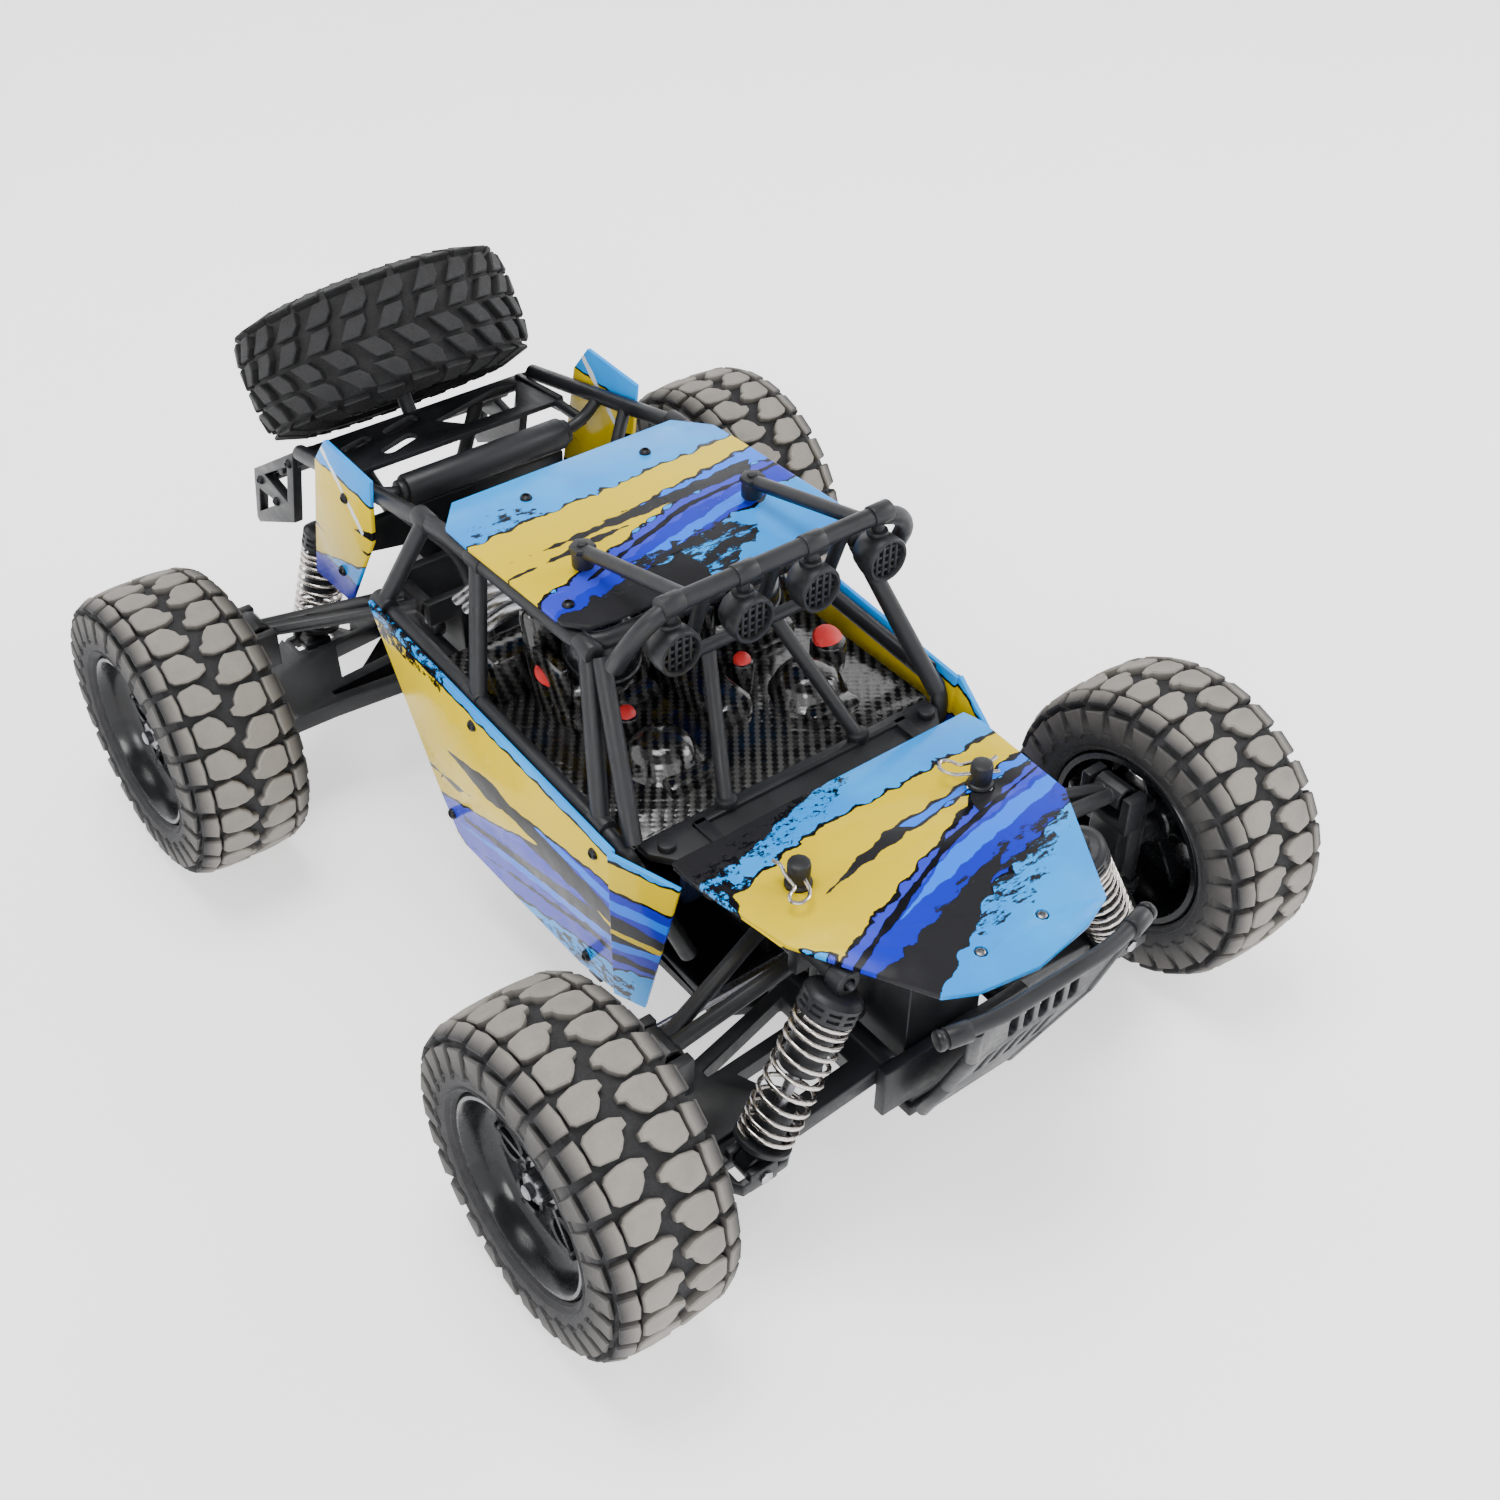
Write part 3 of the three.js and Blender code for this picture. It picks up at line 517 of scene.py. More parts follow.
def roof_print():
    p = Print("roof_print", "XY")
    p.splatter([(-44, 22), (-40, 32), (-22, 34), (-20, 26)], 0.42, size=0.35, stretch=(0.6, 1.2, 1))
    p.patch(VIOLET, [(49, 12.8), (12, 9), (-14, 1.4), (-47, -9), (-46, -19.5), (48, 1.4)], rim=0.7)
    p.patch(BRIGHT, [(48, 21.6), (-11, 14.6), (-9, 12.4), (49, 12.4)], rim=0.7)
    p.patch(ROYAL, [(49, 9), (10, 3), (-20, -7), (-47, -17), (-46, -19.5), (48, 1.4)])
    p.patch(BRIGHT, [(33, 4), (30, -0.5), (-16, -12), (-15, -8.2)], tear=0.6)
    p.patch(INK, [(49, 9.2), (48, 7.6), (12, 5.2), (12, 6.6)], [(12, 6.6), (12, 5.2), (-30, -8.5),
            (-30, -7.4)], tear=0.6)
    p.patch(YELLOW, [(-46, 24), (46, 28.5), (48, 21.8), (-41, 8)], [(-46, 24), (12, 10.5),
            (-16, 1.2), (-47, -8)], rim=0.7)
    p.patch(CHARCOAL, [(-10, 13.2), (41, 15), (37, 10), (0, 9.6)], [(-34, 11.2), (-2, 13.2),
            (0, 9.8), (-22, 10)], tear=0.8)
    p.patch(CHARCOAL, [(-40, 5.2), (-14, 8.6), (-6, 7.4), (-22, 5.4)], tear=0.8)
    p.patch(CHARCOAL, [(-47, -19), (-26, -14.6), (-3, -13), (-4, -30), (-47, -30)], tear=2)
    p.splatter([(-22, -9), (14, -7), (21, -14), (4, -24), (-14, -22)],
            0.7, CHARCOAL, 0.3, (0.45, 1.1, 1))
    return p.finish()


def hood_print():
    p = Print("hood_print", "XY")
    p.patch(CHARCOAL, [(-54, -64), (16, -64), (-6, -71), (-34, -78.6), (-54, -83)], tear=1.4)
    p.splatter([(-34, -75), (4, -71), (-2, -78), (-30, -86)], 0.36, size=0.4, stretch=(0.6, 1.1, 1))
    p.splatter([(-52, -80), (-38, -76), (-38, -92), (-50, -98)], 0.62, size=0.3)
    p.patch(VIOLET, [(52, -96.8), (22, -100.4), (0, -106.8), (-30, -115.8), (-52, -123.2),
            (-52, -140), (-8, -129), (52, -111)], rim=0.8)
    p.patch(BRIGHT, [(0, -92.6), (52, -90.6), (52, -96.5), (22, -97.6), (0, -98)], rim=0.8)
    p.patch(CHARCOAL, [(24, -96.4), (52, -96.6), (24, -103)])
    p.patch(ROYAL, [(52, -101), (4, -110.6), (-50, -130), (-50, -139), (-10, -129), (52, -112)])
    p.patch(BRIGHT, [(50, -103), (50, -107), (2, -116.6), (-15, -119.4), (4, -111)], tear=0.6)
    p.patch(INK, [(50, -99.4), (10, -106.6), (10, -108)], [(10, -106.4), (-18, -117.4), (-42, -127),
            (-42, -128.6), (-18, -119.2), (10, -108)],
            tear=0.6)
    p.patch(YELLOW, [(52, -82.6), (52, -91), (-23, -102), (-20, -84)], [(-16, -84), (-22, -104),
            (-37, -121), (-54, -104), (-44, -90)],
            [(-26, -99), (2, -97.6), (26, -97.2), (2, -107), (-38, -121)], rim=0.9)
    p.patch(CHARCOAL, [(-20, -101.4), (-2, -94.6), (8, -95.6), (0, -99)], [(0, -95), (30, -92.6),
            (34, -94.4), (4, -98.4)], tear=0.9)
    p.patch(BRIGHT, [(4, -95.6), (26, -93.8), (28, -95), (6, -97.4)], tear=0.5)
    p.patch(CHARCOAL, [(-50, -136), (-26, -129), (16, -118.4), (-2, -130), (-20, -140),
            (-50, -152)], tear=1.4)
    p.splatter([(-10, -124), (18, -117.6), (50, -110.6), (34, -120.6), (12, -132), (-6, -134)],
            0.5, CHARCOAL, 0.3, (0.4, 1.3, 1))
    return p.finish()


def side_print():
    p = Print("side_print", "YZ", swing=1.1)
    p.splatter([(-60, 29), (-60, 40), (-38, 38), (-16, 29)], 0.55, size=0.35, stretch=(1, 0.6, 1.3))
    p.patch(VIOLET, [(70, 60), (38, 40), (14, 26), (-80, 51), (-80, 66), (-20, 64.6)], rim=0.8)
    p.patch(ROYAL, [(10, 48), (-20, 58), (-80, 58), (-80, 52), (-28, 45.4), (-6, 43)], tear=0.8)
    p.patch(BRIGHT, [(24, 36.6), (-50, 58), (-80, 59), (-80, 57), (2, 40.8)], tear=0.6)
    p.patch(INK, [(20, 42), (-62, 62), (-80, 62), (-80, 59.6), (20, 40.4)], tear=0.5)
    p.patch(INK, [(14, 32.4), (-44, 49), (-44, 47)], [(-42, 49.2), (-80, 51.6), (-80, 49.6),
            (-42, 47)], tear=0.8)
    p.patch(ROYAL, [(2, 70.6), (-62, 75.6), (-80, 75.6), (-80, 62), (-6, 66)], rim=0.3, tear=0.6)
    p.patch(BRIGHT, [(-8, 69.4), (-62, 71.2), (-80, 70), (-80, 67), (-6, 68)], tear=0.5)
    p.patch(CHARCOAL, [(8, 66.4), (-2, 69), (-50, 66), (-80, 62.6), (-80, 59.8), (-20, 58.2),
            (8, 58)], tear=0.8)
    p.patch(YELLOW, [(-50, 59.6), (-80, 59.6), (-80, 57.4), (-52, 58.4)], tear=0.5)
    p.patch(YELLOW, [(37, 41.8), (2, 52.9), (-20, 62), (20.6, 63.5)], [(20, 63.5), (37, 41.8),
            (66, 60), (66, 92), (20, 80)],
            [(66, 92), (66, 58.8), (24, 62.5), (-56, 75), (-56, 84.6)], [(-52, 75.4), (-80, 75.2),
            (-80, 84.6), (-52, 84.6)],
            rim=0.8, tear=0.7)
    p.patch(CHARCOAL, [(24, 64.4), (0, 69.6), (-16, 64.6), (4, 60.4)], tear=0.8)
    p.patch(CHARCOAL, [(40, 50.6), (16, 53.8), (22, 51)], tear=0.8)
    p.splatter([(62, 88), (62, 97), (22, 93), (24, 88)], 0.62, size=0.35)
    return p.finish()


def fin_print():
    p = Print("fin_print", "YZ", swing=1.0)
    p.patch(ROYAL, [(130, 79), (110, 77.6), (60, 74), (60, 50), (130, 50)], rim=0.6, tear=0.6)
    p.patch(YELLOW, [(60, 111), (90, 113), (130, 113), (130, 72), (60, 96), (60, 100)],
            rim=0.7, tear=0.6)
    p.patch(INK, [(78, 104), (90, 99), (78, 101)], [(126, 92), (112, 87), (126, 89)], [(80, 95),
            (88, 93.4), (80, 92.6)], tear=0.6)
    p.patch((0.62, 0.66, 0.7), [(108, 121), (106, 122), (84, 101), (85, 100)], tear=0.8)
    return p.finish()


BLACK = moulded("black_plastic", (0.0075, 0.008, 0.0095), 0.42)
DEEP = moulded("deep_black_plastic", (0.005, 0.005, 0.006), 0.52)
RIM_BLACK = moulded("rim_plastic", (0.005, 0.0055, 0.0065), 0.22, 0.012)
TYRE = rubber("tyre_rubber", (0.016, 0.016, 0.017), (0.215, 0.2, 0.178))
SPARE_RUBBER = rubber("spare_rubber", (0.008, 0.008, 0.0085), (0.03, 0.03, 0.031))
CHROME = metal("spring_steel", (0.62, 0.58, 0.54), 0.2)
SCREW = metal("black_screw_steel", (0.03, 0.03, 0.033), 0.35)
STEEL = metal("screw_steel", (0.22, 0.22, 0.235), 0.3)
SHAFT = metal("shaft_steel", (0.42, 0.42, 0.44), 0.22)
CAN = metal("motor_can", (0.55, 0.55, 0.57), 0.34, (0.1, 1, 1))
RED = moulded("red_trim", (0.42, 0.02, 0.02), 0.35)
WRAP = moulded("battery_wrap", (0.02, 0.03, 0.07), 0.28)
FILM = formed_film()
ROOF, HOOD, SIDE, FIN = roof_print(), hood_print(), side_print(), fin_print()


# ---- Wheels. Their own frame: the wheel's centre is the origin and its outer face looks to +X.

BEAD, TREAD_RADIUS = 27.4, 43.4
AXLE_LEVEL = 45
TREAD_SINK = -0.4
PITCHES = 28
PITCH = 2 * pi * TREAD_RADIUS / PITCHES
SIDEWALL = [(0, 42.4), (8, 42.2), (14, 41.2), (17.1, 38.6), (18.2, 35), (18.1, 31), (17, 28),
            (16.0, BEAD)]
RIM_LIP = 16.5
WHEEL_AXIS = Matrix.Rotation(pi / 2, 4, "Y")
HOLE, HOLE_CIRCLE = 4.5, 14.6


def carcass(across):
    """The point and outward direction at a distance from the tread's middle."""
    left = abs(across)
    for (x0, r0), (x1, r1) in zip(SIDEWALL, SIDEWALL[1:]):
        length = hypot(x1 - x0, r1 - r0)
        if left <= length:
            t = left / length
            return x0 + (x1 - x0) * t, r0 + (r1 - r0) * t, ((r0 - r1) / length, (x1 - x0) / length)
        left -= length
    return SIDEWALL[-1][0], SIDEWALL[-1][1], (1, 0)


def wrapped(point, turn):
    """Lays a point of the flat tread (along, across, height) on the tyre."""
    sign = 1 if point.y >= 0 else -1
    x, r, (out, up) = carcass(point.y)
    ahead = carcass(point.y + sign * 1.2)[2]
    out, up = (out + ahead[0]) / 2, (up + ahead[1]) / 2
    x, r = x + out * point.z, r + up * point.z
    angle = turn + point.x / TREAD_RADIUS
    return Vector((sign * x, r * cos(angle), r * sin(angle)))


def tread_block(flat, outline, height, eased_by=0.45):
    """One block, standing on the flat tread."""
    shape = bmesh.new()
    face = shape.faces.new([shape.verts.new((u, w, TREAD_SINK)) for u, w in outline])
    grown = bmesh.ops.extrude_face_region(shape, geom=[face])
    top = [v for v in grown["geom"] if isinstance(v, bmesh.types.BMVert)]
    for vert in top:
        fade = max(0.0, (abs(vert.co.y) - 15) / 10)
        vert.co.z = height * (1 - 0.78 * min(1, fade))
    bmesh.ops.recalc_face_normals(shape, faces=shape.faces)
    crown = [e for e in shape.edges if all(v in top for v in e.verts)]
    bevel(shape, crown, eased_by, 1)
    absorb(flat, shape)


def buggy_tread():
    """One pitch of the directional tread: hooked middle blocks, chips and long shoulder lugs."""
    flat = bmesh.new()
    hook = [(0.3, 5.8), (0.8, 9.9), (1.8, 11.2), (6.9, 11.3), (8.2, 10.1), (9.0, 6.8), (8.8, 3.4),
            (7.5, 0.7), (5.7, 0.5), (5.0, 2.2), (3.2, 2.7), (1.5, 4.1)]
    chip = [(0.7, 12.1), (0.6, 15.6), (7.7, 16.0), (8.5, 12.4), (4.4, 11.9)]
    lug = [(0.5, 16.9), (0.9, 23.6), (4.0, 25.2), (6.9, 24.4), (7.9, 17.2)]
    for sign, shift in ((1, 0), (-1, PITCH / 2)):
        for outline, height in ((hook, 2.6), (chip, 2.9), (lug, 2.5)):
            tread_block(flat, [(u + shift, sign * w) for u, w in outline], height)
    return flat, PITCHES


def spare_tread():
    """The spare's angular blocks: chevrons in the middle and square lugs on the shoulders."""
    flat = bmesh.new()
    chevron = [(0.3, 0.6), (4.6, 6.4), (9.8, 6.6), (9.6, 4.2), (6.4, 0.6)]
    angled = [(2.8, 7.6), (7.8, 13.2), (12.6, 13.4), (12.2, 10.0), (9.8, 7.8)]
    shoulder = [(0.6, 14.6), (1.0, 23.6), (4.8, 25.0), (8.4, 24.0), (9.4, 14.8)]
    for sign, shift in ((1, 0), (-1, 4.2)):
        for outline in (chevron, angled, shoulder):
            tread_block(flat, [(u + shift, sign * w) for u, w in outline], 2.6, 0.35)
    return flat, 24


def tyre_shape(tread):
    """A tyre: the bare ring with two ridges on each wall, and the tread laid round it."""
    flat, count = tread()
    tyre = bmesh.new()
    half = [(r, x) for x, r in SIDEWALL]
    inner = [(BEAD + 0.2, 13.2), (30.5, 14.0), (37.6, 13.2), (39.4, 8.0), (39.6, 0)]
    ring = [(r, -x) for r, x in reversed(half)] + half[1:]
    ring += inner + [(r, -x) for r, x in reversed(inner[:-1])]
    lathe(tyre, ring, 96, WHEEL_AXIS, closed=True)
    for r, x in ((33.4, 18.15), (29.2, 17.5)):
        for sign in (1, -1):
            ridge = [(r - 0.8, x - 0.3), (r, x + 0.55), (r + 0.8, x - 0.3)]
            lathe(tyre, [(radius, sign * out) for radius, out in ridge],
            96, WHEEL_AXIS, closed=True)
    for i in range(count):
        laid = flat.copy()
        for vert in laid.verts:
            vert.co = wrapped(vert.co, 2 * pi * i / count)
        absorb(tyre, laid)
    flat.free()
    return tyre


def wear_attribute(piece, centre, axis, amount):
    """How worn each point of a tyre is: 1 on the block tops, 0 in the grooves."""
    mesh = piece.data
    centre, axis = Vector(centre), Vector(axis)
    values = []
    for vert in mesh.vertices:
        out = vert.co - centre
        radius = (out - axis * out.dot(axis)).length / MM
        side = abs(out.dot(axis)) / MM
        top = min(1, max(0, (radius - 43.2) / 1.3))
        shoulder = 0.45 * min(1, max(0, (side - 17.4) / 1.2)) * min(1, max(0, (radius - 33) / 4))
        values.append(amount * max(top, shoulder))
    mesh.attributes.new("worn", "FLOAT", "POINT").data.foreach_set("value", values)


def rim_shape():
    """A deep wheel: a barrel with rolled lips, a disc with six holes and a hub with ribs."""
    rim = bmesh.new()
    lip = [(24.9, -RIM_LIP), (26.6, -RIM_LIP), (27.0, -RIM_LIP + 0.5), (27.0, -13.4), (25.8, -12.6),
           (25.7, 0), (25.8, 12.6), (27.0, 13.4), (27.0, RIM_LIP - 0.6), (26.5, RIM_LIP),
           (25.6, RIM_LIP), (25.0, RIM_LIP - 0.7), (24.6, 12.6), (23.8, 10.2), (22.8, 8.8), (21.2, 8.2),
           (21.2, 6.4),
           (24.7, 5.4), (24.8, -12), (24.9, -RIM_LIP + 0.5)]
    lathe(rim, lip, 96, WHEEL_AXIS, closed=True)
    places = [(HOLE_CIRCLE * cos(i * pi / 3), HOLE_CIRCLE * sin(i * pi / 3)) for i in range(6)]
    holes = [circle(HOLE, place, 32) for place in places]
    plate(rim, circle(21.6, steps=96), [*holes, circle(4.2, steps=24)], 2.4, upright(6.0), 0.5)
    boss = [(HOLE - 0.1, 4.4), (HOLE + 0.9, 4.4), (HOLE + 1.1, 8.8), (HOLE + 0.6, 9.4),
            (HOLE - 0.1, 9.0)]
    for y, z in places:
        lathe(rim, boss, 32, at(0, y, z) @ WHEEL_AXIS, closed=True)
    hub = [(2.9, -4.8), (5.8, -4.8), (6.4, -4.2), (6.4, 6.2), (7.4, 8.6), (7.0, 9.6), (6.2, 9.9),
           (5.8, 8.2), (2.9, 8.2)]
    lathe(rim, hub, 48, WHEEL_AXIS, closed=True)
    for i in range(6):
        turn = Matrix.Rotation((i + 0.5) * pi / 3, 4, "X")
        slab(rim, (-3.5, -0.7, 6.6), (6.4, 0.7, 22), 0.25, turn)
        slab(rim, (7.8, -0.9, 7.2), (9.3, 0.9, 21.6), 0.4, turn)
    return rim


def tyres_and_rims():
    tyre_mesh, rim_mesh = tyre_shape(buggy_tread), rim_shape()
    for end, towards in ENDS.items():
        for side, outward in SIDES.items():
            tag = f"{end}_{side}"
            place = corner(end, side) @ at(HALF_TRACK, 0, WHEEL_HEIGHT)
            body = "wheel_" + tag
            tyre = deliver(tyre_mesh.copy(), "treaded_tyre_" + tag, TYRE, body,
                           ["tyre_" + tag], place, 28)
            centre = (outward * HALF_TRACK * MM, MIDDLE + towards * HALF_BASE * MM,
                      WHEEL_HEIGHT * MM)
            wear_attribute(tyre, centre, (1, 0, 0), 1.0)
            deliver(rim_mesh.copy(), "dished_rim_" + tag, RIM_BLACK, body,
                    ["rim_" + tag], place)
    lean = Vector((0, cos(SPARE_LEAN), sin(SPARE_LEAN)))
    leaning = Vector((1, 0, 0)).rotation_difference(lean).to_matrix().to_4x4()
    place = Matrix.Translation(SPARE_PLACE) @ leaning
    tyre = deliver(tyre_shape(spare_tread), "spare_treaded_tyre", SPARE_RUBBER, "chassis",
                   ["spare_tyre"], place, 28)
    wear_attribute(tyre, TO_FRAME @ Vector(SPARE_PLACE), lean, 0.35)
    deliver(rim_mesh, "spare_dished_rim", RIM_BLACK, "chassis", ["spare_rim"], place)
    tyre_mesh.free()


# ---- Suspension.

SHOCKS = {"front": ((38.4, 84.6), (64.0, 35.9), 19.5), "rear": ((36.8, 79.0), (48.6, 36.5), 24.2)}
CAP_START, CAP_END, BODY_END, SEAT_RISE = 3.2, 9.5, 26.0, 8.0
CAP_RADIUS = 7.6
COILS = 11
LYING = Matrix.Rotation(pi / 2, 4, "X")


def eye(bm, radius, half, bore, place):
    """The round end that a pin runs through."""
    ring = [(bore, -half), (radius - 0.4, -half), (radius, -half + 0.4), (radius, half - 0.4),
            (radius - 0.4, half), (bore, half)]
    lathe(bm, ring, 28, place @ LYING, closed=True)


def shock_body():
    """The cylinder with its upper eye and the ribbed collar over the spring."""
    body = bmesh.new()
    eye(body, 3.6, 2.6, 1.8, Matrix.Identity(4))
    slab(body, (-2, -2.1, -5), (2, 2.1, -2.4), 0.5)
    cap = [(0, -CAP_START), (5.6, -CAP_START), (6.6, -3.8), (7.0, -4.4), (CAP_RADIUS, -4.7),
           (CAP_RADIUS, -5.6), (6.9, -5.9), (6.9, -6.3), (CAP_RADIUS, -6.6), (CAP_RADIUS, -7.4),
           (6.9, -7.7), (6.9, -8.1),
           (CAP_RADIUS, -8.4), (CAP_RADIUS, -CAP_END), (5.4, -CAP_END), (5.2, -10.2), (5.2, -23.6),
           (5.5, -24), (5.5, -25.5), (5.1, -BODY_END), (2.2, -BODY_END), (2.1, -9), (0, -9)]
    lathe(body, cap, 48)
    for i in range(10):
        turn = Matrix.Rotation(2 * pi * i / 10, 4, "Z")
        slab(body, (6.6, -0.8, -9.0), (7.55, 0.8, -4.6), 0.25, turn)
    return body


def shock_shaft(length):
    """The steel stem in its sleeve, the spring's lower seat and the lower eye."""
    shaft = bmesh.new()
    seat = length - SEAT_RISE
    stem = [(0, -17), (1.3, -17), (1.6, -17.3), (1.6, -length + 5), (0, -length + 5)]
    lathe(shaft, stem, 24, index=1)
    sleeve = min(-seat + 10, -BODY_END - 8.8)
    cup = [(1.6, sleeve), (4.2, sleeve), (4.5, sleeve - 0.4), (4.5, -seat), (6.9, -seat),
           (CAP_RADIUS, -seat - 0.4), (CAP_RADIUS, -seat - 1.5), (6.4, -seat - 2.4),
           (3.6, -seat - 3.2), (3.0, -length + 2.6), (1.6, -length + 2.6)]
    lathe(shaft, cup, 40, closed=True)
    eye(shaft, 3.8, 2.6, 2.1, at(0, 0, -length))
    return shaft


def coil(length):
    """The spring: close at its ends and open between."""
    wire = 0.64
    top, bottom = CAP_END + wire, length - SEAT_RISE - wire
    route = []
    steps = COILS * 18
    for i in range(steps + 1):
        t = i / steps
        ease = t - 0.055 * sin(2 * pi * t)
        angle = 2 * pi * COILS * t
        radius = CAP_RADIUS - 0.66
        route.append((radius * cos(angle), radius * sin(angle), -top - (bottom - top) * ease))
    spring = bmesh.new()
    tubes(spring, [route], wire, bend=0, detail=2)
    return spring


def shocks():
    for end, (top, foot, offset) in SHOCKS.items():
        length = hypot(foot[0] - top[0], foot[1] - top[1])
        tilt = Matrix.Rotation(-atan2(foot[0] - top[0], top[1] - foot[1]), 4, "Y")
        for side in SIDES:
            tag = f"{end}_{side}"
            place = corner(end, side) @ at(top[0], offset, top[1]) @ tilt
            body, shaft = "shock_body_" + tag, "shock_shaft_" + tag
            deliver(shock_body(), "ribbed_shock_body_" + tag, BLACK, body, [body],
                    place)
            deliver(shock_shaft(length), "shock_rod_" + tag, [BLACK, STEEL], shaft,
                    [shaft], place)
            spring = deliver(coil(length), "coil_spring_" + tag, CHROME, None,
                             ["spring_" + tag], place, 60)
            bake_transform(spring)


def pin_heads():
    """The silver hinge pins' heads and the screws of the suspension."""
    for end in ENDS:
        for side in SIDES:
            tag = f"{end}_{side}"
            pins = bmesh.new()
            top, foot, offset = SHOCKS[end]
            for y in (-19.6, 19.6):
                rod(pins, (20, y - 0.9, 40), (20, y + 0.9, 40), 1.7, 20, 0.35)
            for y in (-10.3, 10.3):
                rod(pins, (79, y - 0.5, 35), (79, y + 0.5, 35), 1.7, 20, 0.3)
            for y in (offset - 5.8, offset + 5.8):
                rod(pins, (foot[0], y - 0.5, foot[1]), (foot[0], y + 0.5, foot[1]), 1.9, 6, 0.2)
            deliver(pins, "hinge_pin_heads_" + tag, SHAFT, "lower_arm_" + tag,
                    place=corner(end, side))
            nut = bmesh.new()
            rod(nut, (110.3, 0, AXLE_LEVEL), (114.4, 0, AXLE_LEVEL), 4.55, 6, 0.5)
            axle = at(0, 0, AXLE_LEVEL) @ WHEEL_AXIS
            lathe(nut, [(0, 114.6), (2.0, 114.6), (2.0, 116.0), (1.5, 116.4), (0, 116.4)], 24, axle)
            lathe(nut, [(2.2, 110.4), (5.6, 110.4), (5.9, 110.7), (5.6, 111.1), (2.2, 111.1)], 32,
                  axle, closed=True)
            deliver(nut, "wheel_nut_" + tag, STEEL, "wheel_" + tag,
                    place=corner(end, side))


def drive_cups():
    """The cups on the gearboxes that the drive shafts run in."""
    for end in ENDS:
        cups = bmesh.new()
        for sign in (1, -1):
            rod(cups, (sign * 15.5, 0, AXLE_LEVEL), (sign * 20, 0, AXLE_LEVEL),
                5.4, 28, 0.6)
        deliver(cups, "drive_cups_" + end, STEEL, "chassis", place=corner(end, "left"))


SHELLS = {
    "lower_arm": (BLACK, "black_plastic", 0.45), "upper_arm": (BLACK, "black_plastic", 0.3),
    "steering_hub": (BLACK, "black_plastic", 0.4), "knuckle": (BLACK, "black_plastic", 0.3),
    "rear_hub": (BLACK, "black_plastic", 0.4), "tie_rod": (STEEL, "steel", 0.2),
    "steering_link": (BLACK, "black_plastic", 0.4), "gearbox": (BLACK, "black_plastic", 0.5),
    "chassis_tub": (DEEP, "black_plastic", 0.6), "control_unit": (BLACK, "black_plastic", 0.8),
    "steering_servo": (BLACK, "black_plastic", 0.5),
}


def eased_shells():
    """The arms, hubs, links, gearboxes and tub: their own shapes with eased edges."""
    for node in frame["nodes"]:
        for key, (material, slot, width) in SHELLS.items():
            if key in node:
                softened(node, material, width)


# ---- Cage, light bar, rack and bumper.

def under_roof(y):
    """The level of the roof tubes' axis."""
    return ROOF_FRONT - (y + 19) * ROOF_FALL - 1.4 - TUBE - 0.8


def roof_tubes():
    """The side cages: roof rails, pillars, belt rails and their brackets."""
    edge = 43.2
    front, middle = (edge, -27, under_roof(-27)), (edge, 24, under_roof(24))
    for side, outward in SIDES.items():
        cage = bmesh.new()
        belt = [(54.6, -57, 85.5), (54.6, 12, 90), (55.2, 58, 94.5)]
        rail = [front, (edge, 45, under_roof(45)), (42, 130, 103.4)]
        routes = [
            [(1.5, -27, under_roof(-27)), *rail],
            [(38, -62, 42), *belt, (38, 66, 42)],
            [front, (54.4, -47, 87)],
            [(edge - 1.4, -31, under_roof(-31) - 1), (51.4, -57, 85.6)],
            [middle, (54.6, 10, 90)],
            [(42.8, 52, 120.6), belt[2]],
        ]
        tubes(cage, routes, TUBE, 9, 6)
        for x, y, z in (front, middle, (43, 52, 121), belt[1], belt[2], (54.4, -47, 87)):
            rod(cage, (x, y - 3.4, z + 0.1), (x, y + 3.4, z + 0.3), TUBE + 0.45, 20, 0.5)
        for x, y in ROOF_SCREWS:
            rod(cage, (x, y, under_roof(y) - 1.5), (x, y, under_roof(y) + 2.6), 3.2, 20, 0.5)
        rod(cage, (18, -27, under_roof(-27)), (24, -27, under_roof(-27)), TUBE + 0.4, 20, 0.4)
        tubes(cage, [[(20, 36, under_roof(36) - 0.4), (edge, 36, under_roof(36) - 0.4)]], 1.9, 0, 4)
        for y, z in ((6.7, 89.4), (27, 91)):
            slab(cage, (54.4, y - 3, z - 6), (57.2, y + 3, z + 1), 0.6)
        if outward < 0:
            cage.transform(Matrix.Scale(-1, 4, (1, 0, 0)))
        deliver_black(cage, "tube_cage_" + side, ["cage_" + side])


def lamp(bm, x):
    """One round lamp: a deep bezel, a ribbed grille and a bracket."""
    place = at(x, 0, LAMP_LEVEL) @ LYING
    shell = [(0, 43.2), (3.6, 43.2), (5.2, 44.6), (6.1, 47.4), (6.4, 48.4), (6.4, 52.4), (6.0, 53),
            (5.3, 53),
             (5.0, 52.2), (4.9, 50.8), (0, 50.8)]
    lathe(bm, shell, 40, place)
    for offset in (-3.2, -1.1, 1.1, 3.2):
        reach = (5.0 ** 2 - offset ** 2) ** 0.5
        slab(bm, (x + offset - 0.45, -52.2, LAMP_LEVEL - reach),
             (x + offset + 0.45, -50.6, LAMP_LEVEL + reach), 0.2)
        slab(bm, (x - reach, -51.9, LAMP_LEVEL + offset - 0.45),
             (x + reach, -50.6, LAMP_LEVEL + offset + 0.45), 0.2)
    rod(bm, (x, -47.8, 139.6), (x, -47.8, 146), 1.7, 18, 0.2)
    rod(bm, (x, -47.8, 139.8), (x, -47.8, 141.6), 2.9, 20, 0.5)
    rod(bm, (x - 3.2, -48, 146.4), (x + 3.2, -48, 146.4), TUBE + 0.45, 20, 0.4)


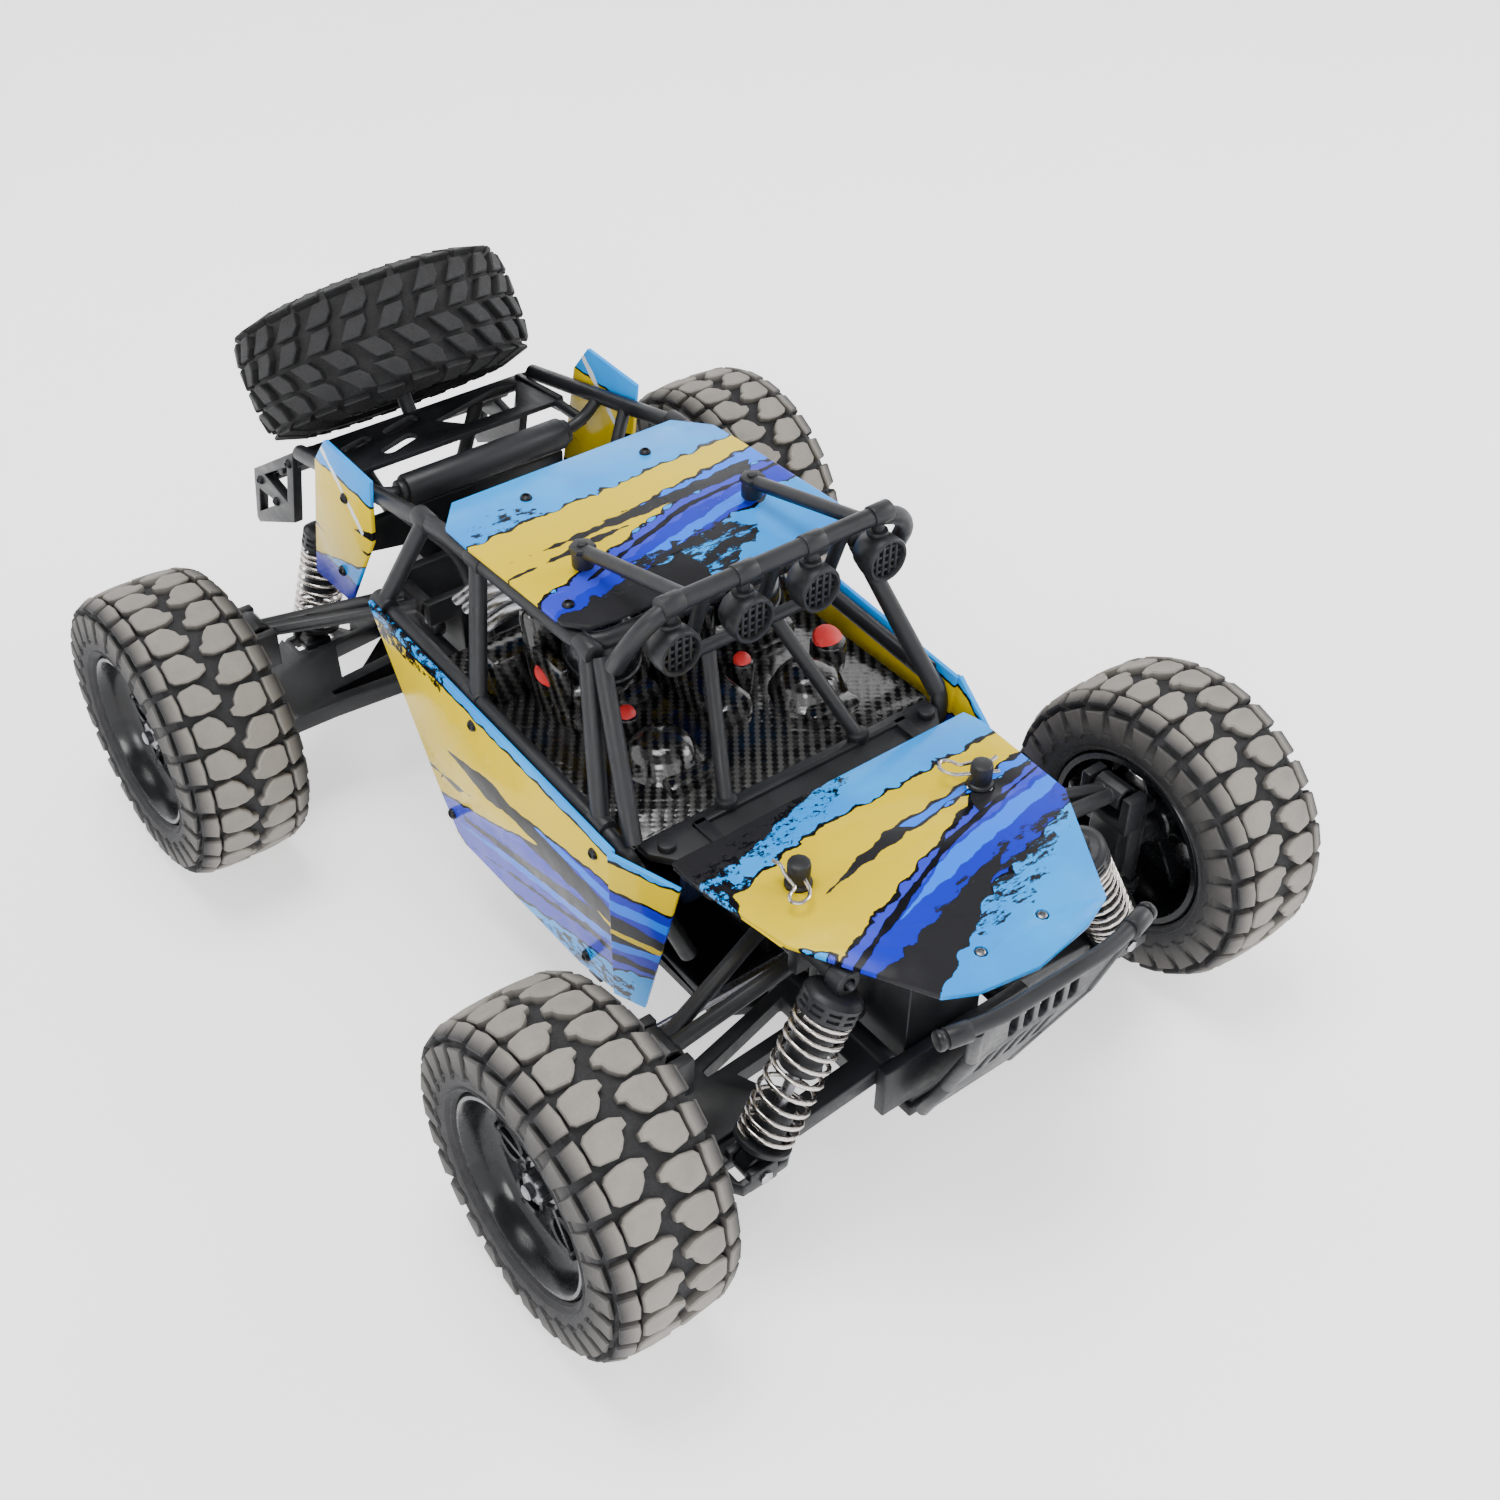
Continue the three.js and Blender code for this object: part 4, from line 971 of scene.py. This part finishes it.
def light_bar():
    """The bar over the windscreen, with its lamps, struts and roof stays."""
    bar = bmesh.new()
    bridge = [(-45.6, -42.4, 130), (-44.6, -46, 137), (-40, -48, 143.4), (-31.4, -48, 146.4)]
    other = [(-x, y, z) for x, y, z in reversed(bridge)]
    tubes(bar, [[*bridge, *other]], TUBE, 5, 6)
    for x in LAMPS:
        lamp(bar, x)
    tubes(bar, [[(x, -47.6, 146), (x, -39, 120)] for x in (-21.8, 0, 21.8)], 1.8, 0, 5)
    tubes(bar, [[(-24, -39, 120.4), (24, -39, 120.4)]], 1.8, 0, 5)
    for x in (LAMP_STAY, -LAMP_STAY):
        tubes(bar, [[(x, -2, 134.6), (x, -8, 136.2), (x, -47, 146)]], 2.0, 6, 5)
        for low, high, radius, sides, round_off in (
                (130.2, 135.2, 3, 24, 0.5), (135, 136.8, 3.6, 6, 0.5),
                (136.6, 137.6, 1.5, 16, 0.3)):
            rod(bar, (x, -3, low), (x, -3, high), radius, sides, round_off)
    deliver_black(bar, "lamp_bar", ["light_bar"])
    glass = bmesh.new()
    for x in LAMPS:
        lathe(glass, [(0, 50.7), (2, 50.95), (3.6, 50.9), (4.9, 50.6), (4.9, 50.2), (0, 50.2)], 40,
              at(x, 0, LAMP_LEVEL) @ LYING)
    deliver(glass, "lamp_faces", RIM_BLACK, "chassis")


def rear_rack():
    """The sloping rack for the spare: cut side plates, a slotted deck, cross tubes and a stud."""
    rack = bmesh.new()
    side = [(132.2, 102.9), (164.5, 81), (168.6, 60.5), (166.8, 59.2), (139, 73.6)]
    windows = [[(138.4, 94.6), (156.4, 82.8), (142, 80)], [(162.4, 74.4), (164.8, 64.6),
            (149.4, 75.4)]]
    for x in (40.4, -43.6):
        plate(rack, side, windows, 3.2, upright(x), 0.4)

    def level(y):
        return 105 - (y - 132) / (sin(SPARE_LEAN) / cos(SPARE_LEAN)) - 4.6

    for y in (135, 148, 162):
        rod(rack, (-42, y, level(y)), (42, y, level(y)), TUBE, 28, 0.4)
    for x in (-26, -9, 9, 26):
        rod(rack, (x, 135, level(135)), (x, 163, level(163)), 2, 24, 0.4)
    slope = atan2(level(163) - level(135), 28)
    deck = at(0, 149, level(149) - 0.6) @ Matrix.Rotation(slope, 4, "X")
    slots = [slot_hole((x, y - 5), (x, y + 5), 1.9)
             for x in (-33.5, -17.5, 0, 17.5, 33.5) for y in (-7.4, 8.2)]
    plate(rack, [(-39, -16), (39, -16), (39, 17), (-39, 17)], slots, 1.4, deck, 0.3)
    for sign in (1, -1):
        tubes(rack, [[(sign * 24, 135, 98), (sign * 11, 133.4, 66)]], 2.3, 0, 5)
    place = Matrix.Translation(SPARE_PLACE) @ turn_to((0, cos(SPARE_LEAN), sin(SPARE_LEAN)))
    stud = [place @ Vector((0, 0, z)) for z in (-24, 8.6, 12, 13.4)]
    rod(rack, stud[0], stud[1], 2.35, 24, 0.3)
    rod(rack, stud[1], stud[2], 5.4, 6, 0.7)
    rod(rack, stud[2], stud[3], 2.3, 20, 0.4)
    deliver_black(rack, "spare_wheel_rack", ["rear_rack"])


def front_bumper():
    """The cross bar, and below it the tapering nose plates with slots in the upper two."""
    bumper = bmesh.new()
    bar = [(-33.5, -151.4, 86), (-18, -154.4, 86), (18, -154.4, 86), (33.5, -151.4, 86)]
    tubes(bumper, [bar], 2.1, 5, 6)
    for sign in (1, -1):
        rod(bumper, (sign * 26.4, -153.2, 86), (sign * 32.6, -151.7, 86), 2.7, 24, 0.4)
        rod(bumper, (sign * 33.2, -151.5, 86), (sign * 35, -151.1, 86), 2.6, 24, 0.6)
    steps = [(-131.2, 28, 15), (-139.3, 46, 16), (-148.8, 67.5, 19.5), (-153.2, 84.4, 24)]
    for (y0, z0, low), (y1, z1, high) in zip(steps, steps[1:]):
        run = hypot(y1 - y0, z1 - z0)
        place = (at(0, y0, z0) @ Matrix.Rotation(-atan2(z1 - z0, y0 - y1), 4, "X")
                 @ Matrix.Rotation(pi, 4, "Z"))
        holes = []
        if z1 > 60:
            holes = [slot_hole((x - 1.6, 3.5), (x + 1.6, run - 3.5),
            1.4) for x in (-10, -5, 0, 5, 10)]
        plate(bumper, [(-low, -0.9), (low, -0.9), (high, run + 0.9), (-high, run + 0.9)],
                holes, 2.6,
              place @ at(0, 0, -1.3), 0.5)
        for sign in (1, -1):
            foot, head = Vector((sign * low, 0, 0)), Vector((sign * high, run, 0))
            rod(bumper, place @ foot, place @ head, 1.9, 20, 0.3)
    deliver_black(bumper, "slotted_bumper", ["front_bumper"])


def cowl():
    """The tray below the windscreen and the two screen tubes that stand on it."""
    panel = bmesh.new()
    outline = [(-49, -55), (-49, -60), (-42, -69.4), (42, -69.4), (49, -60), (49, -55)]
    plate(panel, outline, [], 2.6, at(0, 0, 80.6), 0.6)
    for low, high in (((-34, -69.2), (-30, -58)), ((34, -69.2), (38, -58)), ((-34, -69.2),
            (38, -67)),
                      ((-34, -60), (38, -58))):
        slab(panel, (*low, 82.6), (*high, 84.4), 0.4)
    for sign in (1, -1):
        tubes(panel, [[(sign * 22.5, -57.4, 84), (sign * 10.6, -33.6, 116)]], 2, 0, 5)
        rod(panel, (sign * 44, -61, 83), (sign * 44, -61, 85.2), 2.4, 20, 0.5)
        rod(panel, (sign * 22.5, -57.6, 83), (sign * 22.3, -57.2, 86), 3.0, 24, 0.6)
    deliver_black(panel, "cowl_tray", ["cowl_plate"])


def rear_deck():
    """The cut plate ahead of the spare, the cross cylinder behind the roof and its brackets."""
    deck = bmesh.new()
    outline = [(-37, 0), (37, 0), (39.5, 26), (-39.5, 26)]
    windows = [slot_hole((-13, 19), (-4, 22), 2.3), slot_hole((-20, 7), (-11, 10.4), 2.3),
            slot_hole((-29, 17), (-22, 19), 2.0),
               [(1, 15), (7, 6), (25, 6), (34, 21), (28, 23)]]
    tilt = at(0, 107, 103.6) @ Matrix.Rotation(-0.13, 4, "X")
    plate(deck, outline, windows, 1.8, tilt, 0.4)
    for x in (-38, 38):
        slab(deck, (x - 1.2, 0, -2.4), (x + 1.2, 26, 2.6), 0.5, tilt)
    rod(deck, (-28, 92, 104), (28, 92, 104), 4.9, 36, 1.0)
    for sign in (1, -1):
        rod(deck, (sign * 27.6, 92, 104), (sign * 30, 92, 104), 3.8, 28, 0.6)
        tubes(deck, [[(sign * 29, 92, 104), (sign * 36, 92, 106), (sign * 42.4, 92, 111.6)]],
                1.9, 4, 4)
        tubes(deck, [[(sign * 36, 92, 105.5), (sign * 37.4, 108, 103.6)]], 1.8, 0, 4)
        tubes(deck, [[(sign * 42.6, 78, 115), (sign * 26, 66, 96), (sign * 18, 66, 62)]], 2.0, 8, 4)
    deliver_black(deck, "rear_deck")


def engine():
    """The dressed-up engine behind the seats: a ribbed block with bent headers and stacks."""
    block = bmesh.new()
    slab(block, (-16, 27, 76), (16, 50, 92), 1.6)
    for i in range(7):
        slab(block, (-17, 28.4 + 3.2 * i, 78), (17, 29.8 + 3.2 * i, 93.4), 0.4)
    for sign in (1, -1):
        for i in range(4):
            y = 30 + 5.4 * i
            route = [(sign * 14, y, 90), (sign * 21, y, 97), (sign * 28, y + 5, 94),
            (sign * 31, y + 14, 84)]
            tubes(block, [route], 1.7, 7, 4, index=1)
        for i in range(3):
            lathe(block, [(1.4, 0), (2.2, 0), (2.2, 7), (3.4, 10.4), (3.0, 10.6), (1.6, 7),
            (1.4, 0.4)], 24,
                  at(sign * 6, 32 + 6.6 * i, 91), closed=True, index=1)
    deliver(block, "dummy_engine", [RIM_BLACK, CAN], "chassis")


# ---- Printed panels.

def printed_panels():
    """The sheets themselves, with their print."""
    for node, material in (("roof_panel", ROOF), ("hood_panel", HOOD), ("side_panel_left", SIDE),
                           ("side_panel_right", SIDE), ("fin_left", FIN), ("fin_right", FIN)):
        softened(node, material, 0.28)


def domed_screw(bm, place, radius=1.7):
    """A screw's domed head with a small socket."""
    head = [(0, 0.75), (radius * 0.45, 0.75), (radius * 0.5, 1.15), (radius * 0.78, 0.95),
            (radius, 0.35), (radius, -0.4), (0, -0.4)]
    lathe(bm, head, 24, place)


def panel_screws():
    """The dark domed screws of the roof, the side panels, the fins and the rack."""
    screws = bmesh.new()
    for sign in (1, -1):
        for x, y in ROOF_SCREWS:
            z = ROOF_FRONT - (y + 19) * ROOF_FALL
            domed_screw(screws, at(sign * x, y, z))
        for y, z in ((27.2, 37.8), (-49.8, 81.2), (-41.1, 35.5), (6.7, 85.7)):
            x = 59 - (88 - z) * 2.5 / 58
            domed_screw(screws, turn_to((sign, 0, 0), (sign * x, y, z)))
        for y, z in ((93, 108), (101, 78)):
            domed_screw(screws, turn_to((sign, 0, 0), (sign * 46.6, y, z)))
        for y, z in ((136, 97), (160, 79), (150, 76)):
            domed_screw(screws, turn_to((sign, 0, 0), (sign * 43.6, y, z)), 1.5)
    deliver(screws, "panel_screws", SCREW, "chassis")


def hood_posts():
    """The two posts through the hood and the spring clips that hold it."""
    posts, clips = bmesh.new(), bmesh.new()
    for sign, heading in ((1, 2.6), (-1, -1.9)):
        x, y = sign * 30.2, -96
        lathe(posts, [(0, 89), (3.4, 90), (3.6, 90.6), (3.4, 91.2), (2.9, 91.4), (3.0, 96.2),
                (2.5, 97.2), (0, 97.2)],
              32, at(x, y, 0))
        turn = at(x, y, 94.2) @ Matrix.Rotation(heading, 4, "Z")
        loop = [(-4.8, 0.0, 0), (7, 0.3, 0), (9.6, -1.0, 0), (10.6, -3.4, 0), (9.4, -5.6, 0),
                (7.2, -5.2, 0),
                (5.4, -2.8, 0.4), (3.0, -3.3, 0.4), (0, -3.8, 0.4),
                (-2.8, -3.4, 0.4), (-5.0, -5.0, 0.6)]
        tubes(clips, [loop], 0.5, 1.8, 3, turn)
    deliver_black(posts, "hood_posts")
    deliver(clips, "hood_clips", CHROME, "chassis")
    eyelets = bmesh.new()
    for sign in (1, -1):
        domed_screw(eyelets, at(sign * 10.1, -139, 88.6), 1.6)
    deliver(eyelets, "hood_eyelets", STEEL, "chassis")


# ---- Cockpit.

def cockpit():
    """Formed sheet with two bucket seats, their occupants' helmets left plain, and front humps."""
    tub = bmesh.new()
    slab(tub, (-50, -55.6, 80.8), (50, 40, 83.6), 1.2)
    slab(tub, (-48, 12, 82), (48, 23, 98), 3)
    slab(tub, (-6, -34, 82), (6, 14, 91), 2.6)
    for sign in (1, -1):
        x = sign * 24
        slab(tub, (x - 15, -12, 82), (x + 15, 10, 89), 3)
        back = bmesh.new()
        bmesh.ops.create_cube(back, size=1)
        bmesh.ops.scale(back, vec=(30, 6.4, 29), verts=back.verts)
        bevel(back, back.edges[:], 2.6, 3)
        absorb(tub, back, at(x, 8.6, 98) @ Matrix.Rotation(-0.2, 4, "X"))
        for wing in (-1, 1):
            slab(tub, (x + wing * 13 - 1.8, -7, 88), (x + wing * 13 + 1.8, 10, 103), 1.5)
        helmet = bmesh.new()
        bmesh.ops.create_uvsphere(helmet, u_segments=40, v_segments=24, radius=11.3)
        bmesh.ops.scale(helmet, vec=(0.9, 1.0, 1.0), verts=helmet.verts)
        absorb(tub, helmet, at(x, -4, 103), 1)
        lathe(tub, [(10.3, -1.4), (10.9, -1.0), (10.9, 1.0), (10.3, 1.4)], 40,
              at(x, -4.4, 101) @ Matrix.Rotation(0.35, 4, "X"), closed=True, index=1)
        shoulders = bmesh.new()
        bmesh.ops.create_uvsphere(shoulders, u_segments=32, v_segments=16, radius=1)
        bmesh.ops.scale(shoulders, vec=(12.6, 8.4, 7.2), verts=shoulders.verts)
        absorb(tub, shoulders, at(x, -1, 90), 0)
        dome = [(0, 91.6), (4, 91.3), (7.5, 90), (9.4, 87.4), (10.4, 84.4), (11.6, 83.2), (0, 83.2)]
        lathe(tub, dome, 40, at(sign * 25, -33, 0))
        slab(tub, (x - 8, -47.6, 83), (x + 8, -42, 86.5), 1.2)
    rod(tub, (-36, 2, 82), (-36, 2, 96), 4.0, 28, 1.2)
    rod(tub, (37, -27, 82), (37, -27, 92), 5.2, 28, 1.2)
    for x in (-27, 12):
        rod(tub, (x, -20, 82), (x, -20, 91.6), 3.2, 24, 1.0)
    deliver(tub, "formed_cockpit", [FILM, RIM_BLACK], "chassis", ["cockpit_tub"])
    pads = bmesh.new()
    for place in ((-36, 2, 96.4), (-27, -20, 92), (37, -27, 92.4), (12, -20, 92)):
        wide = 4.6 if abs(place[0]) > 30 else 2.6
        dome = [(0, 1.2), (wide * 0.6, 1.0), (wide * 0.92, 0.4), (wide, -0.6), (0, -0.6)]
        lathe(pads, dome, 32, Matrix.Translation(place) @ Matrix.Rotation(0.45, 4, "X"))
    deliver(pads, "harness_pads", RED, "chassis")


# ---- Electrics and drive under the cage.

def motor_and_pack():
    """The motor's can with its vents and pinion, and the wrapped cells of the battery."""
    can = bmesh.new()
    y, z = 62, 47
    axis = at(0, y, z) @ WHEEL_AXIS
    shell = [(0, -21.6), (5, -21.8), (6, -21), (11.6, -20.4), (13.1, -19.2), (13.4, -18),
            (13.4, 5.6), (12.8, 7.2),
             (11, 7.8), (4.2, 7.8), (4.0, 9.4), (1.6, 9.4), (1.6, 13), (0, 13)]
    lathe(can, shell, 56, axis)
    for i in range(8):
        slab(can, (-0.8, 11.2, -18.6), (0.8, 13.45, -10),
                0.3, axis @ Matrix.Rotation(i * pi / 4, 4, "Z"), 1)
    gear = [(1.6, 13), (5.6, 13), (5.9, 13.3), (5.9, 19.7), (5.6, 20), (1.6, 20)]
    lathe(can, gear, 36, axis, closed=True, index=1)
    deliver(can, "motor_can", [CAN, DEEP], "chassis", ["motor"])
    pack = bmesh.new()
    for x in (-15, -7.5, 0, 7.5, 15):
        slab(pack, (x - 4.6, -35.6, 26.4), (x + 4.6, 33.6, 47.4), 2.2)
    slab(pack, (-19.6, -36, 28), (19.6, 34, 46), 1.6)
    deliver(pack, "wrapped_battery", WRAP, "chassis", ["battery_pack"])


# ---- Floor, light and camera.

def room():
    """A pale cove of paper, a white world and three soft lights."""
    paper = Finish("floor_paper", 0.75, specular=0.2)
    grain = paper.noise(0.02, 2)
    paper.set("Base Color", paper.mix(grain, (0.86, 0.86, 0.87), (0.9, 0.9, 0.905)))
    paper.set("Roughness", paper.span(grain, 0.3, 0.7, 0.7, 0.8))
    paper.set("Emission Color", (1, 1, 1, 1))
    paper.set("Emission Strength", 0.85)
    cove = bmesh.new()
    lathe(cove, [(0, 0), (2.4, 0), (2.75, 0.09), (3.0, 0.35), (3.09, 0.7), (3.1, 2.6)], 96)
    floor_sheet = link(cove, "floor", paper.material, None, (), 30)

    world = bpy.data.worlds.new("studio")
    world.use_nodes = True
    world.node_tree.nodes["Background"].inputs[0].default_value = (1, 1, 1, 1)
    world.node_tree.nodes["Background"].inputs[1].default_value = 0.55
    bpy.context.scene.world = world
    for name, place, size, power in (("top_softbox", (-0.1, 0.1, 1.3), 0.7, 15),
                                     ("left_softbox", (1.0, -0.4, 0.7), 0.5, 6),
                                     ("near_softbox", (-0.9, -0.9, 0.8), 0.4, 6)):
        data = bpy.data.lights.new(name, "AREA")
        data.shape = "DISK"
        data.size = size
        data.energy = power
        lamp_object = bpy.data.objects.new(name, data)
        lamp_object.location = place
        towards_car = Vector((0, 0, 0.06)) - Vector(place)
        lamp_object.rotation_euler = towards_car.to_track_quat("-Z", "Y").to_euler()
        bpy.context.scene.collection.objects.link(lamp_object)


def camera():
    """Looks down on the car's right front corner."""
    azimuth, elevation, roll = radians(-39.18), radians(40.34), radians(1.548)
    back = Vector((sin(azimuth) * cos(elevation), -cos(azimuth) * cos(elevation), sin(elevation)))
    right = Vector((cos(azimuth), sin(azimuth), 0))
    up = back.cross(right)
    across = right * cos(roll) + up * sin(roll)
    upward = up * cos(roll) - right * sin(roll)
    place = Vector((0.0136, -0.0224 + MIDDLE, 0.060)) + back * 0.5471
    data = bpy.data.cameras.new("camera")
    data.lens = 45.9
    data.sensor_width = 36
    data.clip_start = 0.01
    viewer = bpy.data.objects.new("camera", data)
    viewer.matrix_world = Matrix((across, upward, back)).transposed().to_4x4()
    viewer.location = place
    bpy.context.scene.collection.objects.link(viewer)
    bpy.context.scene.camera = viewer


camera()
room()
tyres_and_rims()
shocks()
pin_heads()
drive_cups()
eased_shells()
roof_tubes()
light_bar()
rear_rack()
rear_deck()
engine()
front_bumper()
cowl()
printed_panels()
panel_screws()
hood_posts()
cockpit()
motor_and_pack()
